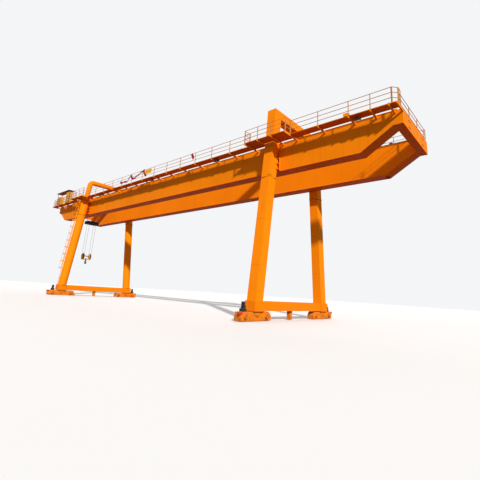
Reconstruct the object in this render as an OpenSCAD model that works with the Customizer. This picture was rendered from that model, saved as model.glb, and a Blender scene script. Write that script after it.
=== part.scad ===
// Double-girder gantry crane with a cantilever at each end, as a half-size scale model.
// Lengths are millimetres of the model. X runs along the girders, Y along the travel rails, Z up.
// The origin is on the ground under the middle of the girders. The box-leg frame stands towards +X,
// the tube-leg frame towards -X, and the walkway is on the -Y girder.

/* [Span and height] */
// Distance between the two leg frames, centre to centre
span = 15000; // [12000:500:18000]
// Reach of the girders beyond the box-leg frame
box_reach = 4410; // [3800:10:5500]
// Reach of the girders beyond the tube-leg frame
tube_reach = 4900; // [3800:10:5500]
// Height of the girders' underside above the ground
girder_bottom = 5135; // [4800:5:6000]

/* [Girders] */
// Distance between the middles of the two girders
girder_gauge = 2250; // [2100:10:2400]
// Width of a girder over its webs
girder_w = 436; // [360:2:500]
// Depth of a girder over its flanges
girder_d = 1075; // [900:5:1200]
// How far each flange stands out past a web
flange_out = 20; // [10:1:30]
// Thickness of the flanges
flange_t = 12; // [8:1:20]
// Depth left at a girder's end, where its underside slopes up
tip_d = 450; // [350:5:600]
// Length of the sloping underside
taper_l = 985; // [800:5:1600]
// Thickness of the beam that ties the girder ends, along X
tie_l = 250; // [150:5:350]

/* [Trolley rails] */
// Distance between the two trolley rails
rail_gauge = 1920; // [1880:5:2000]
// Height of a trolley rail
rail_h = 65; // [50:1:80]
// Width of the rail's head
rail_head_w = 34; // [24:1:40]
// Width of the rail's foot
rail_foot_w = 56; // [44:1:70]
// Height of the stop at each rail end, above the girder
stop_h = 230; // [180:5:260]
// Thickness of a stop, along X
stop_l = 80; // [50:5:120]

/* [Box legs] */
// Distance of a box leg's middle from the crane's middle, at its foot
leg_foot_y = 2085; // [2000:5:2200]
// Lean of the legs towards each other, in degrees
leg_lean = 5.7; // [5:0.1:6.2]
// Lean of the upper legs above the girders, in degrees
saddle_lean = 3; // [2:0.1:5.7]
// Width of a box leg along X
leg_x = 360; // [280:5:420]
// Width of a box leg along Y
leg_y = 375; // [300:5:420]
// Depth of the leg's bolted joint below the girders
joint_drop = 290; // [200:10:400]
// Thickness of one joint flange plate
plate_t = 15; // [10:1:25]
// How far a flange plate stands out past the leg
plate_out = 10; // [6:1:30]

/* [Saddles] */
// Clear height of the box saddle above the girders
saddle_clear = 1000; // [950:5:1100]
// Depth of the box saddle's cross beam
saddle_d = 310; // [250:5:380]
// Outside diameter of the tube saddle
saddle_tube_d = 310; // [250:5:360]
// Clear height of the tube saddle above the girders
tube_saddle_clear = 965; // [940:5:1050]
// Radius of the tube saddle's bends, at the tube's middle
bend_r = 230; // [180:5:320]

/* [Tube legs] */
// Distance of a tube leg's middle from the crane's middle, at its foot
tube_foot_y = 2145; // [2100:5:2250]
// Outside diameter of a tube leg
tube_d = 470; // [380:5:500]
// Depth of a tube leg's top below the girders' top
tube_top_drop = 265; // [230:5:400]

/* [Ground beams] */
// Height of a ground beam's underside
sill_bottom = 312; // [300:2:420]
// Depth of a ground beam
sill_d = 298; // [220:2:340]
// Width of a ground beam along X
sill_w = 350; // [300:5:400]
// Length of a ground beam past the outside of its legs
sill_past = 55; // [20:1:80]
// Width of the box under each leg, along X
foot_w = 430; // [400:2:480]
// Length of the box under each leg, along Y
foot_l = 470; // [420:2:520]
// Drop of that box below the ground beam
foot_drop = 12; // [4:1:30]
// Width of the storm anchor's post
anchor_w = 135; // [100:5:180]
// Distance of the storm anchor's post from the crane's middle
anchor_y = 90; // [0:5:300]

/* [Bogies and wheels] */
// Distance of a bogie's middle from the crane's middle
bogie_y = 2120; // [2080:5:2200]
// Distance between a bogie's two wheels
wheelbase = 1040; // [900:10:1100]
// Radius of a wheel over its flanges
wheel_flange_r = 130; // [120:1:136]
// Depth of a wheel's flange
wheel_flange_d = 13; // [8:1:18]
// Width of a wheel's tread
tread_w = 70; // [50:2:80]
// Thickness of a wheel's flange
wheel_flange_t = 12; // [8:1:15]
// Radius of a wheel's axle
axle_r = 25; // [20:1:30]
// Running clearance of an axle in its bearing, on the radius
axle_gap = 0.05; // [0.02:0.01:0.1]
// Length of a bogie frame along its lower edge
bogie_l = 1500; // [1440:10:1560]
// Length cut off its upper corners
bogie_corner = 110; // [80:5:130]
// Radius of the opening in a side plate round each bearing housing
bogie_hole_r = 88; // [80:1:92]
// Width across the flats of a bearing housing
housing_w = 134; // [126:1:140]
// Width of a bogie over its side plates
bogie_w = 260; // [240:2:300]
// Height of the side plates' lower edge
bogie_bottom = 20; // [10:2:50]
// Thickness of a bogie's plates
bogie_t = 16; // [10:1:20]
// Gap between a bogie's top and the box above it, filled by a pad
pad_h = 15; // [10:1:40]
// Length of a travel buffer
buffer_l = 150; // [120:5:240]
// Diameter of a buffer's head
buffer_d = 90; // [70:5:110]

/* [Walkway] */
// Distance of the walkway's inner edge from the crane's middle
deck_in = 1545; // [1500:5:1600]
// Distance of the walkway's outer edge from the crane's middle
deck_out = 1870; // [1800:5:1950]
// Drop of the walkway below the girders' top
deck_drop = 35; // [20:5:80]
// Thickness of the walkway's plate
deck_t = 10; // [6:1:16]
// Depth of the walkway's edge channel
deck_edge_h = 25; // [20:1:60]
// How far the walkway runs past the girders' ends
deck_past = 25; // [0:5:100]
// How far the walkway steps out round a leg
jog_out = 305; // [250:5:400]
// Half of the length of that step
jog_half = 900; // [860:5:1000]
// Shift of that step's middle past the box leg's middle
box_jog = 90; // [0:5:110]
// Shift of that step's middle past the tube leg's middle
tube_jog = 110; // [100:5:130]
// Spacing of the brackets and railing posts
bracket_pitch = 1000; // [800:50:1200]
// Places of the closer posts towards the box-frame end, from the step
end_posts = [1030, 2045, 2700, 3210];
// Depth of a bracket
bracket_d = 50; // [40:2:90]
// Width of a bracket
bracket_w = 44; // [30:2:60]
// Clearance of the walkway round a leg
leg_gap = 20; // [10:2:40]

/* [Railings] */
// Height of a railing
rail_top = 488; // [440:2:600]
// Thickness of a railing's bars
bar = 14; // [10:1:20]
// Number of bars over the height
bar_rows = 3; // [2:1:4]
// Width of a railing post
post_w = 20; // [16:1:35]
// Length of the corner a railing cuts off at the walkway's ends
rail_corner = 150; // [100:5:200]

/* [Ladder] */
// Width of the ladder over its stringers
ladder_w = 230; // [200:5:280]
// Distance of the ladder's stringers from the leg's tube
ladder_off = 275; // [240:5:290]
// Spacing of the rungs
rung_pitch = 150; // [120:5:160]
// Diameter of a rung
rung_d = 14; // [10:1:18]
// Radius of the safety cage
cage_r = 215; // [190:5:220]
// Spacing of the cage's hoops
hoop_pitch = 450; // [350:10:600]
// Thickness of the cage's straps
strap_t = 6; // [4:1:10]
// Width of the cage's straps
strap_w = 34; // [20:2:40]

/* [Trolley and hoist] */
// Distance of the parked trolley from the tube-frame end
park = 2695; // [2400:5:3200]
// Distance between the trolley's axles
trolley_base = 1500; // [1300:10:1700]
// Radius of a trolley wheel's tread
trolley_wheel_r = 85; // [75:1:86]
// Radius of the hoist drum
drum_r = 180; // [160:5:200]
// Length of the hoist drum
drum_l = 1000; // [900:10:1100]
// Height of the drum's axis above the trolley's deck
drum_h = 250; // [220:5:280]
// Height of the sheaves' axis in the hook block above the ground
block_axis = 2650; // [2300:10:3600]
// Diameter of the hoist rope
rope_d = 13; // [10:1:18]
// Height of the limit weight's underside above the ground
weight_bottom = 4930; // [4600:10:5000]

/* [Fittings] */
// Places of the floodlights under the walkway, from the box leg
lamps = [-12535, -7370, -2700, 3240];
// Width of a floodlight
lamp_w = 190; // [140:5:240]
// Distance of the sign plate's middle from the box leg
sign_in = 7505; // [7000:5:8000]
// Width of the sign plate
sign_w = 560; // [400:10:700]
// Height of the sign plate
sign_h = 200; // [160:5:300]
// Distance of the switch cabinets' middle from the tube-frame end
cabinet_in = 1545; // [1400:5:1900]
// Distance between the middles of the two cabinets
cabinet_pitch = 1420; // [1200:10:1600]
// Width of a cabinet
cabinet_w = 480; // [400:10:600]
// Height of the taller cabinet
cabinet_h = 800; // [700:10:860]
// Height of the lower cabinet
low_cabinet_h = 620; // [500:10:800]
// Depth of a cabinet
cabinet_d = 240; // [200:5:280]
// Height of the rain roof above the walkway
roof_h = 880; // [870:5:1000]

/* [Hidden] */

paint = [0.93, 0.47, 0.06];
bright = [1.0, 0.56, 0.08];
dark = [0.15, 0.15, 0.16];
steel = [0.45, 0.44, 0.43];

// Girders
half_l = (span + box_reach + tube_reach) / 2;
box_x = half_l - box_reach;
tube_x = tube_reach - half_l;
girder_y = girder_gauge / 2;
girder_top = girder_bottom + girder_d;
web_out = girder_y + girder_w / 2;
flange_edge = web_out + flange_out;
tip_bottom = girder_top - tip_d;
girder_end = half_l - tie_l;
knee_x = girder_end - taper_l;
rail_y = rail_gauge / 2;
stop_in = girder_end - stop_l;

// Legs and ground beams
sill_top = sill_bottom + sill_d;
joint_z = girder_bottom - joint_drop;
saddle_under = girder_top + saddle_clear;
saddle_top = saddle_under + saddle_d;
tube_top = girder_top - tube_top_drop;
tube_beam_z = girder_top + tube_saddle_clear + saddle_tube_d / 2;
box_sill_half = leg_foot_y + leg_y / 2 + sill_past;
tube_sill_half = tube_foot_y + tube_d / 2 + sill_past - 20;
bogie_top = sill_bottom - foot_drop - pad_h;
bend_z = tube_beam_z - bend_r * (1 - sin(leg_lean));
bend_y = tube_mid(bend_z) - bend_r * cos(leg_lean);
function leg_mid(z) = leg_foot_y - (min(z, girder_top) - sill_top) * tan(leg_lean)
    - max(z - girder_top, 0) * tan(saddle_lean);
function tube_mid(z) = tube_foot_y - (z - sill_top) * tan(leg_lean);

// Fittings of the frames
tube_plate_out = 34;
tube_joint_z = girder_bottom - 70;
rib_foot = 35;
rib_pitch = 205;
rib_t = 10;
rib_out = 80;
anchor_low = 15;
housing_t = 46;
sweeper_out = 85;
ear_gap = 1;
ear_t = 14;
ear_w = 396;
pin_r = 30;
pin_z = 170;

// Walkway and ladder
deck_top = girder_top - deck_drop;
deck_end = half_l + deck_past;
ladder_bar = 12;
ladder_x = tube_x - tube_d / 2 - ladder_off;
ladder_low = sill_top;
ladder_high = deck_top + rail_top;
cage_x = ladder_x - 1.5 * ladder_bar - sqrt(pow(cage_r, 2) - pow(ladder_w / 2, 2));
cage_out = cage_x - cage_r;
cage_front = ladder_x - 1.5 * ladder_bar;
arm_pitch = 1250;
deck_joint = 1;
walk = [-deck_end, tube_x - tube_jog - jog_half, tube_x - tube_jog + jog_half,
    box_x + box_jog - jog_half, box_x + box_jog + jog_half, deck_end];
panel_gap = 0.5;

cabinet_x = cabinet_in - half_l;
cabinet_foot = 60;

// Trolley
rail_top_z = girder_top + rail_h;
trolley_axle_z = rail_top_z + trolley_wheel_r;
trolley_under = rail_top_z + 60;
trolley_deck = trolley_under + 150;
trolley_half = trolley_base / 2 + trolley_wheel_r + 105;
trolley_x = park - half_l;
drum_z = trolley_deck + drum_h;
anchor_out = drum_r - 70;
sheave_y = 240;
rope_gap = 0.3;
slot_half = 340;
cheek_in = 190;
cheek_out = 290;
cheek_r = 150;
hook_drop = 250;
hook_r = 100;
slot_out = 260;
groove_r = drum_r - rope_d / 2 - rope_gap;

// A box from its low corner to its high corner
module block(low, high) {
    translate(low) cube(high - low);
}

// An outline in Y and Z made solid along X
module along_x(length) {
    rotate([90, 0, 90]) linear_extrude(length, center = true) children();
}

// An outline in X and Z made solid along Y
module along_y(length) {
    rotate([90, 0, 0]) linear_extrude(length, center = true) children();
}

// A piece and its twin on the other side of the crane's middle plane
module both_sides() {
    children();
    mirror([0, 1, 0]) children();
}

// A girder: closed box with standing-out flanges, its underside sloping up at both ends
module girder(y) {
    color(paint) translate([0, y, 0]) {
        along_y(girder_w) polygon([
            [-girder_end, girder_top], [girder_end, girder_top], [girder_end, tip_bottom],
            [knee_x, girder_bottom], [-knee_x, girder_bottom], [-girder_end, tip_bottom]]);
        along_y(girder_w + 2 * flange_out) polygon([
            [-girder_end, tip_bottom], [-knee_x, girder_bottom],
            [knee_x, girder_bottom], [girder_end, tip_bottom],
            [girder_end, tip_bottom + flange_t], [knee_x, girder_bottom + flange_t],
            [-knee_x, girder_bottom + flange_t], [-girder_end, tip_bottom + flange_t]]);
        block([-girder_end, -girder_w / 2 - flange_out, girder_top - flange_t],
              [girder_end, girder_w / 2 + flange_out, girder_top]);
    }
}

module front_girder() {
    girder(-girder_y);
}

module rear_girder() {
    girder(girder_y);
}

// Box beams across both girder ends
module end_ties() {
    color(bright) for (end = [-1, 1])
        translate([end * (half_l - tie_l / 2), 0, girder_top - tip_d / 2])
            cube([tie_l, 2 * web_out, tip_d], center = true);
}

// Crane rails along the girders
module trolley_rails() {
    head_h = rail_h * 0.34;
    foot_h = rail_h * 0.15;
    rail_web = 10;
    color(steel) for (side = [-1, 1])
        translate([0, side * rail_y, girder_top]) along_x(2 * stop_in) polygon([
        [-rail_foot_w / 2, 0], [rail_foot_w / 2, 0], [rail_foot_w / 2, foot_h],
        [rail_web / 2, foot_h + 4], [rail_web / 2, rail_h - head_h - 4],
        [rail_head_w / 2, rail_h - head_h], [rail_head_w / 2, rail_h],
        [-rail_head_w / 2, rail_h], [-rail_head_w / 2, rail_h - head_h],
        [-rail_web / 2, rail_h - head_h - 4], [-rail_web / 2, foot_h + 4],
        [-rail_foot_w / 2, foot_h]]);
}

// Stops at the rail ends
module rail_stops() {
    color(bright) for (side = [-1, 1], end = [-1, 1])
        translate([end * (stop_in + stop_l / 2), side * rail_y, girder_top + stop_h / 2])
            cube([stop_l, 120, stop_h], center = true);
}

// A leg's outline in Y and Z between two heights, on the +Y side
module leg_outline(low, high) {
    polygon([
        [leg_mid(low) - leg_y / 2, low], [leg_mid(low) + leg_y / 2, low],
        [leg_mid(high) + leg_y / 2, high], [leg_mid(high) - leg_y / 2, high]]);
}

// The same outline with the change of lean at the girders' top
module upright_outline(low, high) {
    bend = girder_top;
    polygon([
        [leg_mid(low) - leg_y / 2, low], [leg_mid(low) + leg_y / 2, low],
        [leg_mid(bend) + leg_y / 2, bend], [leg_mid(high) + leg_y / 2, high],
        [leg_mid(high) - leg_y / 2, high], [leg_mid(bend) - leg_y / 2, bend]]);
}

// A flange plate round the leg
module leg_plate(z) {
    translate([box_x, leg_mid(z), z + plate_t / 2])
        cube([leg_x + 2 * plate_out, leg_y + 2 * plate_out, plate_t], center = true);
}

// Box leg from the ground beam to the bolted joint, on the +Y side
module box_leg() {
    color(bright) {
        translate([box_x, 0, 0]) along_x(leg_x) leg_outline(sill_top, joint_z - plate_t);
        leg_plate(sill_top);
        leg_plate(joint_z - plate_t);
    }
}

module box_legs() {
    both_sides() box_leg();
}

// Upper legs from the bolted joints to the saddle, cut to stand against the girders
module box_uprights() {
    color(bright) both_sides() difference() {
        union() {
            translate([box_x, 0, 0]) along_x(leg_x) upright_outline(joint_z, saddle_under);
            leg_plate(joint_z);
        }
        block([box_x - leg_x, 0, girder_bottom], [box_x + leg_x, flange_edge, girder_top]);
    }
}

// Box beam over the trolley's path, on the upper legs
module box_saddle() {
    out_low = leg_mid(saddle_under) + leg_y / 2;
    out_high = leg_mid(saddle_top) + leg_y / 2;
    color(bright) translate([box_x, 0, 0]) along_x(leg_x) polygon([
        [-out_low, saddle_under], [out_low, saddle_under], [out_high, saddle_top], [-out_high, saddle_top]]);
}

// Packing between a girder's web and a box leg, and ribs beside the leg
module box_leg_bracket() {
    low = girder_bottom + flange_t;
    high = girder_top - flange_t;
    inner = function (z) max(leg_mid(z) - leg_y / 2, flange_edge);
    meet_z = sill_top + (leg_foot_y - leg_y / 2 - flange_edge) / tan(leg_lean);
    mid_z = min(max(meet_z, low + 1), high - 1);
    translate([box_x, 0, 0]) {
        along_x(leg_x - 60) polygon([
            [web_out, low], [inner(low), low], [inner(mid_z), mid_z], [inner(high), high], [web_out, high]]);
        for (step = [0:3], side = [-1, 1])
            translate([0, 0, low + rib_foot + step * rib_pitch])
                linear_extrude(rib_t) polygon([
                    [side * leg_x / 2, flange_edge + 100], [side * leg_x / 2, web_out + 215],
                    [side * (leg_x / 2 + rib_out), web_out + 60], [side * (leg_x / 2 + rib_out), web_out],
                    [side * (leg_x / 2 - 30), web_out], [side * (leg_x / 2 - 30), flange_edge + 100]]);
        for (side = [-1, 1])
            translate([side * (leg_x / 2 + rib_out), 0, low + rib_foot - 15]) block(
                [-rib_t / 2, web_out, 0], [rib_t / 2, web_out + 75, 3 * rib_pitch + rib_t + 30]);
    }
}

module box_leg_brackets() {
    color(bright) both_sides() difference() {
        box_leg_bracket();
        translate([box_x, 0, 0]) along_x(leg_x) upright_outline(joint_z, saddle_top);
    }
}

// Ground beam under a pair of legs: a wider box at each end, and under it a pad and two ears with a
// pin that hold the bogie
module ground_beam(x, half) {
    foot = sill_bottom - foot_drop;
    translate([x, 0, 0]) {
        block([-sill_w / 2, -half + 20, sill_bottom], [sill_w / 2, half - 20, sill_top]);
        both_sides() {
            block([-foot_w / 2, half - foot_l, foot], [foot_w / 2, half, sill_top]);
            translate([0, bogie_y, foot - pad_h / 2]) cube([bogie_w - 40, 300, pad_h], center = true);
            for (side = [-1, 1]) translate([side * (bogie_w / 2 + ear_gap + ear_t / 2), bogie_y, 0]) {
                along_x(ear_t) polygon([
                    [-ear_w / 2, foot], [ear_w / 2, foot],
                    [pin_r + 8, pin_z - pin_r], [-pin_r - 8, pin_z - pin_r]]);
                translate([side * ear_t / 2, 0, pin_z]) rotate([0, side * 90, 0])
                    cylinder(h = 14, r = pin_r, $fn = 48);
            }
        }
    }
}

module box_sill() {
    color(paint) ground_beam(box_x, box_sill_half);
}

module tube_sill() {
    color(paint) ground_beam(tube_x, tube_sill_half);
}

// Leaning tube between two heights, cut level at both ends, on the +Y side
module leaning_tube(low, high, d) {
    intersection() {
        translate([tube_x, tube_foot_y, sill_top]) rotate([leg_lean, 0, 0])
            translate([0, 0, -d]) cylinder(h = (high - sill_top) / cos(leg_lean) + 3 * d, d = d, $fn = 64);
        block([tube_x - d, 0, low], [tube_x + d, 2 * tube_foot_y, high]);
    }
}

// Tube leg with a round foot plate, a bolted joint below the girder and a top plate
module tube_leg() {
    color(bright) {
        leaning_tube(sill_top + plate_t, tube_top - plate_t, tube_d);
        for (z = [sill_top, tube_joint_z, tube_top - plate_t])
            translate([tube_x, tube_mid(z), z])
                cylinder(h = plate_t, d = tube_d + 2 * tube_plate_out, $fn = 64);
        translate([tube_x, tube_mid(tube_joint_z), tube_joint_z - plate_t])
            cylinder(h = plate_t, d = tube_d + 2 * tube_plate_out - 6, $fn = 64);
    }
}

module tube_legs() {
    both_sides() tube_leg();
}

// Leaning tubes above the legs, beside the girders
module tube_uprights() {
    straight = (bend_z - tube_top) / cos(leg_lean) + saddle_tube_d / 2;
    color(bright) both_sides() difference() {
        translate([tube_x, tube_mid(bend_z), bend_z]) rotate([leg_lean, 0, 0]) translate([0, 0, -straight])
            cylinder(h = straight, d = saddle_tube_d, $fn = 64);
        block([tube_x - tube_d, 0, tube_top - saddle_tube_d], [tube_x + tube_d, 2 * tube_foot_y, tube_top]);
    }
}

// Bends from the leaning tubes to the beam
module tube_bends() {
    color(bright) both_sides()
        translate([tube_x, bend_y, tube_beam_z - bend_r]) rotate([90, 0, 90]) rotate([0, 0, leg_lean])
            rotate_extrude(angle = 90 - leg_lean, $fn = 64)
                translate([bend_r, 0]) circle(d = saddle_tube_d, $fn = 64);
}

// Tube beam over the trolley's path
module tube_saddle() {
    color(bright) translate([tube_x, 0, tube_beam_z]) rotate([90, 0, 0])
        cylinder(h = 2 * bend_y, d = saddle_tube_d, center = true, $fn = 64);
}

// Ribs that carry a girder on a tube leg
module tube_leg_bracket() {
    low = girder_bottom + flange_t;
    difference() {
        for (step = [0:3])
            translate([tube_x, 0, low + 20 + step * 190]) linear_extrude(12) polygon([
                [-tube_d / 2 - 60, web_out], [tube_d / 2 + 60, web_out],
                [tube_d / 2 - 30, web_out + tube_d / 2], [30 - tube_d / 2, web_out + tube_d / 2]]);
        leaning_tube(joint_z, girder_top, tube_d + 0.6);
    }
}

module tube_leg_brackets() {
    color(bright) both_sides() tube_leg_bracket();
}

// Outline of a bogie frame in Y and Z, drawn in by a plate's thickness
module bogie_outline(t) {
    foot = t > 0 ? bogie_bottom - 1 : bogie_bottom;
    half = bogie_l / 2 - t;
    corner = bogie_top - bogie_corner * 1.2;
    polygon([
        [-half, foot], [half, foot], [half, corner - t * 0.4],
        [half - bogie_corner + t * 0.5, bogie_top - t],
        [bogie_corner - half - t * 0.5, bogie_top - t], [-half, corner - t * 0.4]]);
}

// Bogie frame: a box open below, with an opening and a square bearing housing at each wheel, and a
// rail sweeper on its outer end
module bogie() {
    color(bright) difference() {
        union() {
            difference() {
                along_x(bogie_w) bogie_outline(0);
                along_x(bogie_w - 2 * bogie_t) bogie_outline(bogie_t);
                for (wheel = [-1, 1]) translate([0, wheel * wheelbase / 2, wheel_flange_r])
                    rotate([20, 0, 0]) rotate([0, 90, 0])
                        cylinder(h = bogie_w + 2, r = bogie_hole_r, center = true, $fn = 64);
            }
            for (side = [-1, 1], wheel = [-1, 1])
                translate([side * (bogie_w / 2 + 1), wheel * wheelbase / 2, wheel_flange_r]) {
                    rotate([45, 0, 0]) cube([housing_t, housing_w, housing_w], center = true);
                    rotate([0, side * 90, 0]) translate([0, 0, housing_t / 2])
                        cylinder(h = 8, r = axle_r + 22, $fn = 48);
                }
            along_x(70) polygon([
                [bogie_l / 2 - bogie_corner - 10, bogie_top - 12],
                [bogie_l / 2 - bogie_corner - 10, bogie_top],
                [bogie_l / 2 + sweeper_out, bogie_top], [bogie_l / 2 + sweeper_out, bogie_bottom + 15],
                [bogie_l / 2 + sweeper_out - 12, bogie_bottom + 15],
                [bogie_l / 2 + sweeper_out - 12, bogie_top - 12]]);
        }
        for (wheel = [-1, 1]) translate([0, wheel * wheelbase / 2, wheel_flange_r]) rotate([0, 90, 0])
            cylinder(h = bogie_w + 100, r = axle_r + axle_gap, center = true, $fn = 48);
    }
}

module bogies() {
    for (x = [box_x, tube_x]) translate([x, 0, 0]) both_sides() translate([0, bogie_y, 0]) bogie();
}

// Outline of a finned motor: its end, and a ring every step along its length
function fins(r, low, high, pitch) = [
    for (k = [0:floor((high - low) / pitch) - 1], p = [[0, 0], [0, 0.5], [-9, 0.5], [-9, 1]])
        [r + p.x, low + (k + p.y) * pitch]];

// Motor with cooling fins, standing on its origin
module finned_motor(r, length, pitch) {
    rotate_extrude($fn = 48) polygon(concat(
        [[0, 0], [r - 9, 0]], fins(r, 12, length - 30, pitch), [[r - 9, length - 28], [r - 4, length - 24],
        [r - 4, length - 6], [r - 10, length], [0, length]]));
}

// Gearmotor standing on a bogie's outer end
module travel_drive() {
    translate([0, bogie_y + wheelbase / 2, bogie_top]) {
        translate([0, 0, 45]) cube([150, 165, 90], center = true);
        translate([0, 0, 90]) cylinder(h = 14, d = 150, $fn = 48);
        translate([0, 0, 104]) finned_motor(64, 190, 12);
        translate([64, 0, 150]) cube([50, 60, 70], center = true);
    }
}

module travel_drives() {
    color(dark) for (x = [box_x, tube_x]) translate([x, 0, 0]) both_sides() travel_drive();
}

// Rubber buffer on the outside corner of a bogie's outer end
module travel_buffer(side) {
    place_y = bogie_y + bogie_l / 2 - bogie_corner + 20;
    translate([side * (bogie_w / 2 - buffer_d / 2), place_y, bogie_top - 50])
        rotate([-90, 0, 0]) cylinder(h = buffer_l, d = buffer_d, $fn = 48);
}

module travel_buffers() {
    color("firebrick") for (x = [box_x, tube_x]) translate([x, 0, 0]) difference() {
        both_sides() travel_buffer(sign(x));
        both_sides() translate([0, bogie_y, 0]) along_x(bogie_w + 2) bogie_outline(0);
    }
}

// Post under each ground beam that takes the storm anchor
module storm_anchors() {
    color(bright) for (x = [box_x, tube_x])
        translate([x, -anchor_y, (anchor_low + sill_bottom) / 2])
            cube([anchor_w, anchor_w, sill_bottom - anchor_low], center = true);
}

// Walkway in lengths, each with its edge channel, cut away round the legs and for the ladder
module walkway() {
    low = deck_top - deck_edge_h;
    leg_reach = leg_mid(low) + leg_y / 2 + leg_gap;
    tube_out = tube_mid(low) + saddle_tube_d / 2 + leg_gap;
    hatch_y = tube_mid(low) + cage_r + leg_gap;
    color([0.62, 0.3, 0.06]) mirror([0, 1, 0]) difference() {
        for (i = [0:4]) {
            out = i % 2 == 1 ? deck_out + jog_out : deck_out;
            difference() {
                block([walk[i] + deck_joint, deck_in, low], [walk[i + 1] - deck_joint, out, deck_top]);
                block([walk[i] + 14, deck_in + 14, low - 1],
                      [walk[i + 1] - 14, out - 14, deck_top - deck_t]);
            }
        }
        block([box_x - leg_x / 2 - leg_gap, 0, low - 2],
              [box_x + leg_x / 2 + leg_gap, leg_reach, deck_top + 1]);
        block([tube_x - saddle_tube_d / 2 - leg_gap, 0, low - 2],
              [tube_x + saddle_tube_d / 2 + leg_gap, tube_out, deck_top + 1]);
        block([cage_out - leg_gap, 0, low - 2], [ladder_x + 60, hatch_y, deck_top + 1]);
    }
}

// Places of the posts between two points of a line, evenly spaced, both ends included
function evenly(low, high) =
    let (fields = max(1, round((high - low) / bracket_pitch)))
    [for (k = [0:fields]) low + (high - low) * k / fields];

// Places of the brackets along the walkway's five lengths
function bracket_places(i) =
    i % 2 == 1 ? [for (k = [0:3])
        walk[i] + bracket_w / 2 + 2 + (walk[i + 1] - walk[i] - bracket_w - 4) * k / 3]
    : i == 4 ? concat([for (x = end_posts) walk[4] + x], [deck_end - bracket_w / 2 - 2])
    : i == 0 ? [for (x = evenly(walk[0] + bracket_w / 2 + 2, walk[1])) if (x < walk[1] - 200) x]
    : [for (x = evenly(walk[2], walk[3])) if (x > walk[2] + 200 && x < walk[3] - 200) x];

// Brackets from the girder's web to the walkway's edge, each with a plate up to the deck
module walkway_brackets() {
    low = deck_top - deck_edge_h;
    color(bright) mirror([0, 1, 0]) for (i = [0:4], x = bracket_places(i)) translate([x, 0, 0]) {
        reach = i % 2 == 1 ? deck_out + jog_out : deck_out;
        along_x(bracket_w) polygon([
            [web_out, low - bracket_d], [web_out, low], [reach, low], [reach, deck_top - 2],
            [reach + 6, deck_top - 2], [reach + 6, low - bracket_d]]);
    }
}

// Posts of a railing at given places along X, standing on the walkway's edge
module posts(places, y) {
    for (x = places) translate([x - post_w / 2, y - post_w / 2, deck_top]) cube([post_w, post_w, rail_top]);
}

// Bars of a railing from one point to another
module bars(from, to, foot) {
    run = to - from;
    translate([from.x, from.y, foot]) rotate([0, 0, atan2(run.y, run.x)])
        for (row = [1:bar_rows])
            translate([0, -bar / 2, rail_top * row / bar_rows - bar]) cube([norm(run), bar, bar]);
}

// A railing in a straight line with posts evenly between its ends
module railing(from, to, foot) {
    run = to - from;
    length = norm(run);
    fields = max(1, round(length / bracket_pitch));
    bars(from, to, foot);
    translate([from.x, from.y, foot]) rotate([0, 0, atan2(run.y, run.x)]) for (k = [0:fields])
        translate([(length - post_w) * k / fields, -post_w / 2, 0]) cube([post_w, post_w, rail_top]);
}

// Railing on the walkway's outer edge: one panel along each length, across each step and each corner
module front_railing() {
    y = deck_out - post_w / 2;
    out = y + jog_out;
    half = post_w / 2;
    color(steel) mirror([0, 1, 0]) {
        for (i = [0:4]) {
            row_y = i % 2 == 1 ? out : y;
            low = i == 0 ? walk[0] + rail_corner : walk[i] + (i % 2 == 1 ? 2 : panel_gap);
            high = i == 4 ? walk[5] - rail_corner : walk[i + 1] - (i % 2 == 1 ? 2 : panel_gap);
            bars([low, row_y], [high, row_y], deck_top);
            posts([low + half, high - half], row_y);
            posts([for (x = bracket_places(i)) if (x > low + 100 && x < high - 100) x], row_y);
        }
        for (i = [1:4]) {
            x = walk[i] + (i % 2 == 1 ? 2 + half : -2 - half);
            railing([x, y - half], [x, out - half - panel_gap], deck_top);
        }
        for (side = [-1, 1]) {
            railing([side * (deck_end - rail_corner + 1), y],
                    [side * (deck_end - 12), y - rail_corner + 11], deck_top);
            railing([side * (deck_end - 12), y - rail_corner - 1],
                    [side * (deck_end - 12), deck_in + 2], deck_top);
        }
    }
}

// Railing on the rear girder, between the leg frames and beyond them
module rear_railing() {
    y = web_out - post_w / 2;
    end = half_l - 30;
    clear = leg_x / 2 + 60;
    color(steel) for (run = [[-end, tube_x - clear], [tube_x + clear, box_x - clear], [box_x + clear, end]])
        railing([run[0], y], [run[1], y], girder_top);
}

// Railings across both ends
module end_railings() {
    x = half_l - 60;
    color(steel) for (end = [-1, 1])
        railing([end * x, -web_out + post_w / 2], [end * x, web_out - 3 * post_w], girder_top);
}

// A bar that leans with the legs: centred on y past the leg's middle, from one height to another
module leaning_bar(y, low, high, wide_x, wide_y) {
    along_x(wide_x) polygon([
        [tube_mid(low) + y - wide_y / 2, low], [tube_mid(low) + y + wide_y / 2, low],
        [tube_mid(high) + y + wide_y / 2, high], [tube_mid(high) + y - wide_y / 2, high]]);
}

// Ladder beside the front tube leg, leaning with it, held off the tube by pairs of arms
module ladder() {
    rungs = floor((ladder_high - ladder_low - 60) / rung_pitch);
    color("orange") mirror([0, 1, 0]) {
        for (side = [-1, 1])
            translate([ladder_x, 0, 0])
                leaning_bar(side * (ladder_w - ladder_bar) / 2, ladder_low, ladder_high,
                            3 * ladder_bar, ladder_bar);
        for (i = [0:rungs])
            translate([ladder_x, tube_mid(ladder_low + 50 + i * rung_pitch),
                       ladder_low + 50 + i * rung_pitch])
                rotate([90, 0, 0]) cylinder(h = ladder_w - ladder_bar, d = rung_d, center = true, $fn = 16);
        difference() {
            for (z = [sill_top + 400:arm_pitch:tube_top - 200], side = [-1, 1])
                translate([ladder_x, tube_mid(z) + side * (ladder_w / 2 - ladder_bar) - 6, z])
                    cube([tube_x - ladder_x, 12, 40]);
            leaning_tube(sill_top, tube_top, tube_d + 0.4);
        }
    }
}

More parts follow.
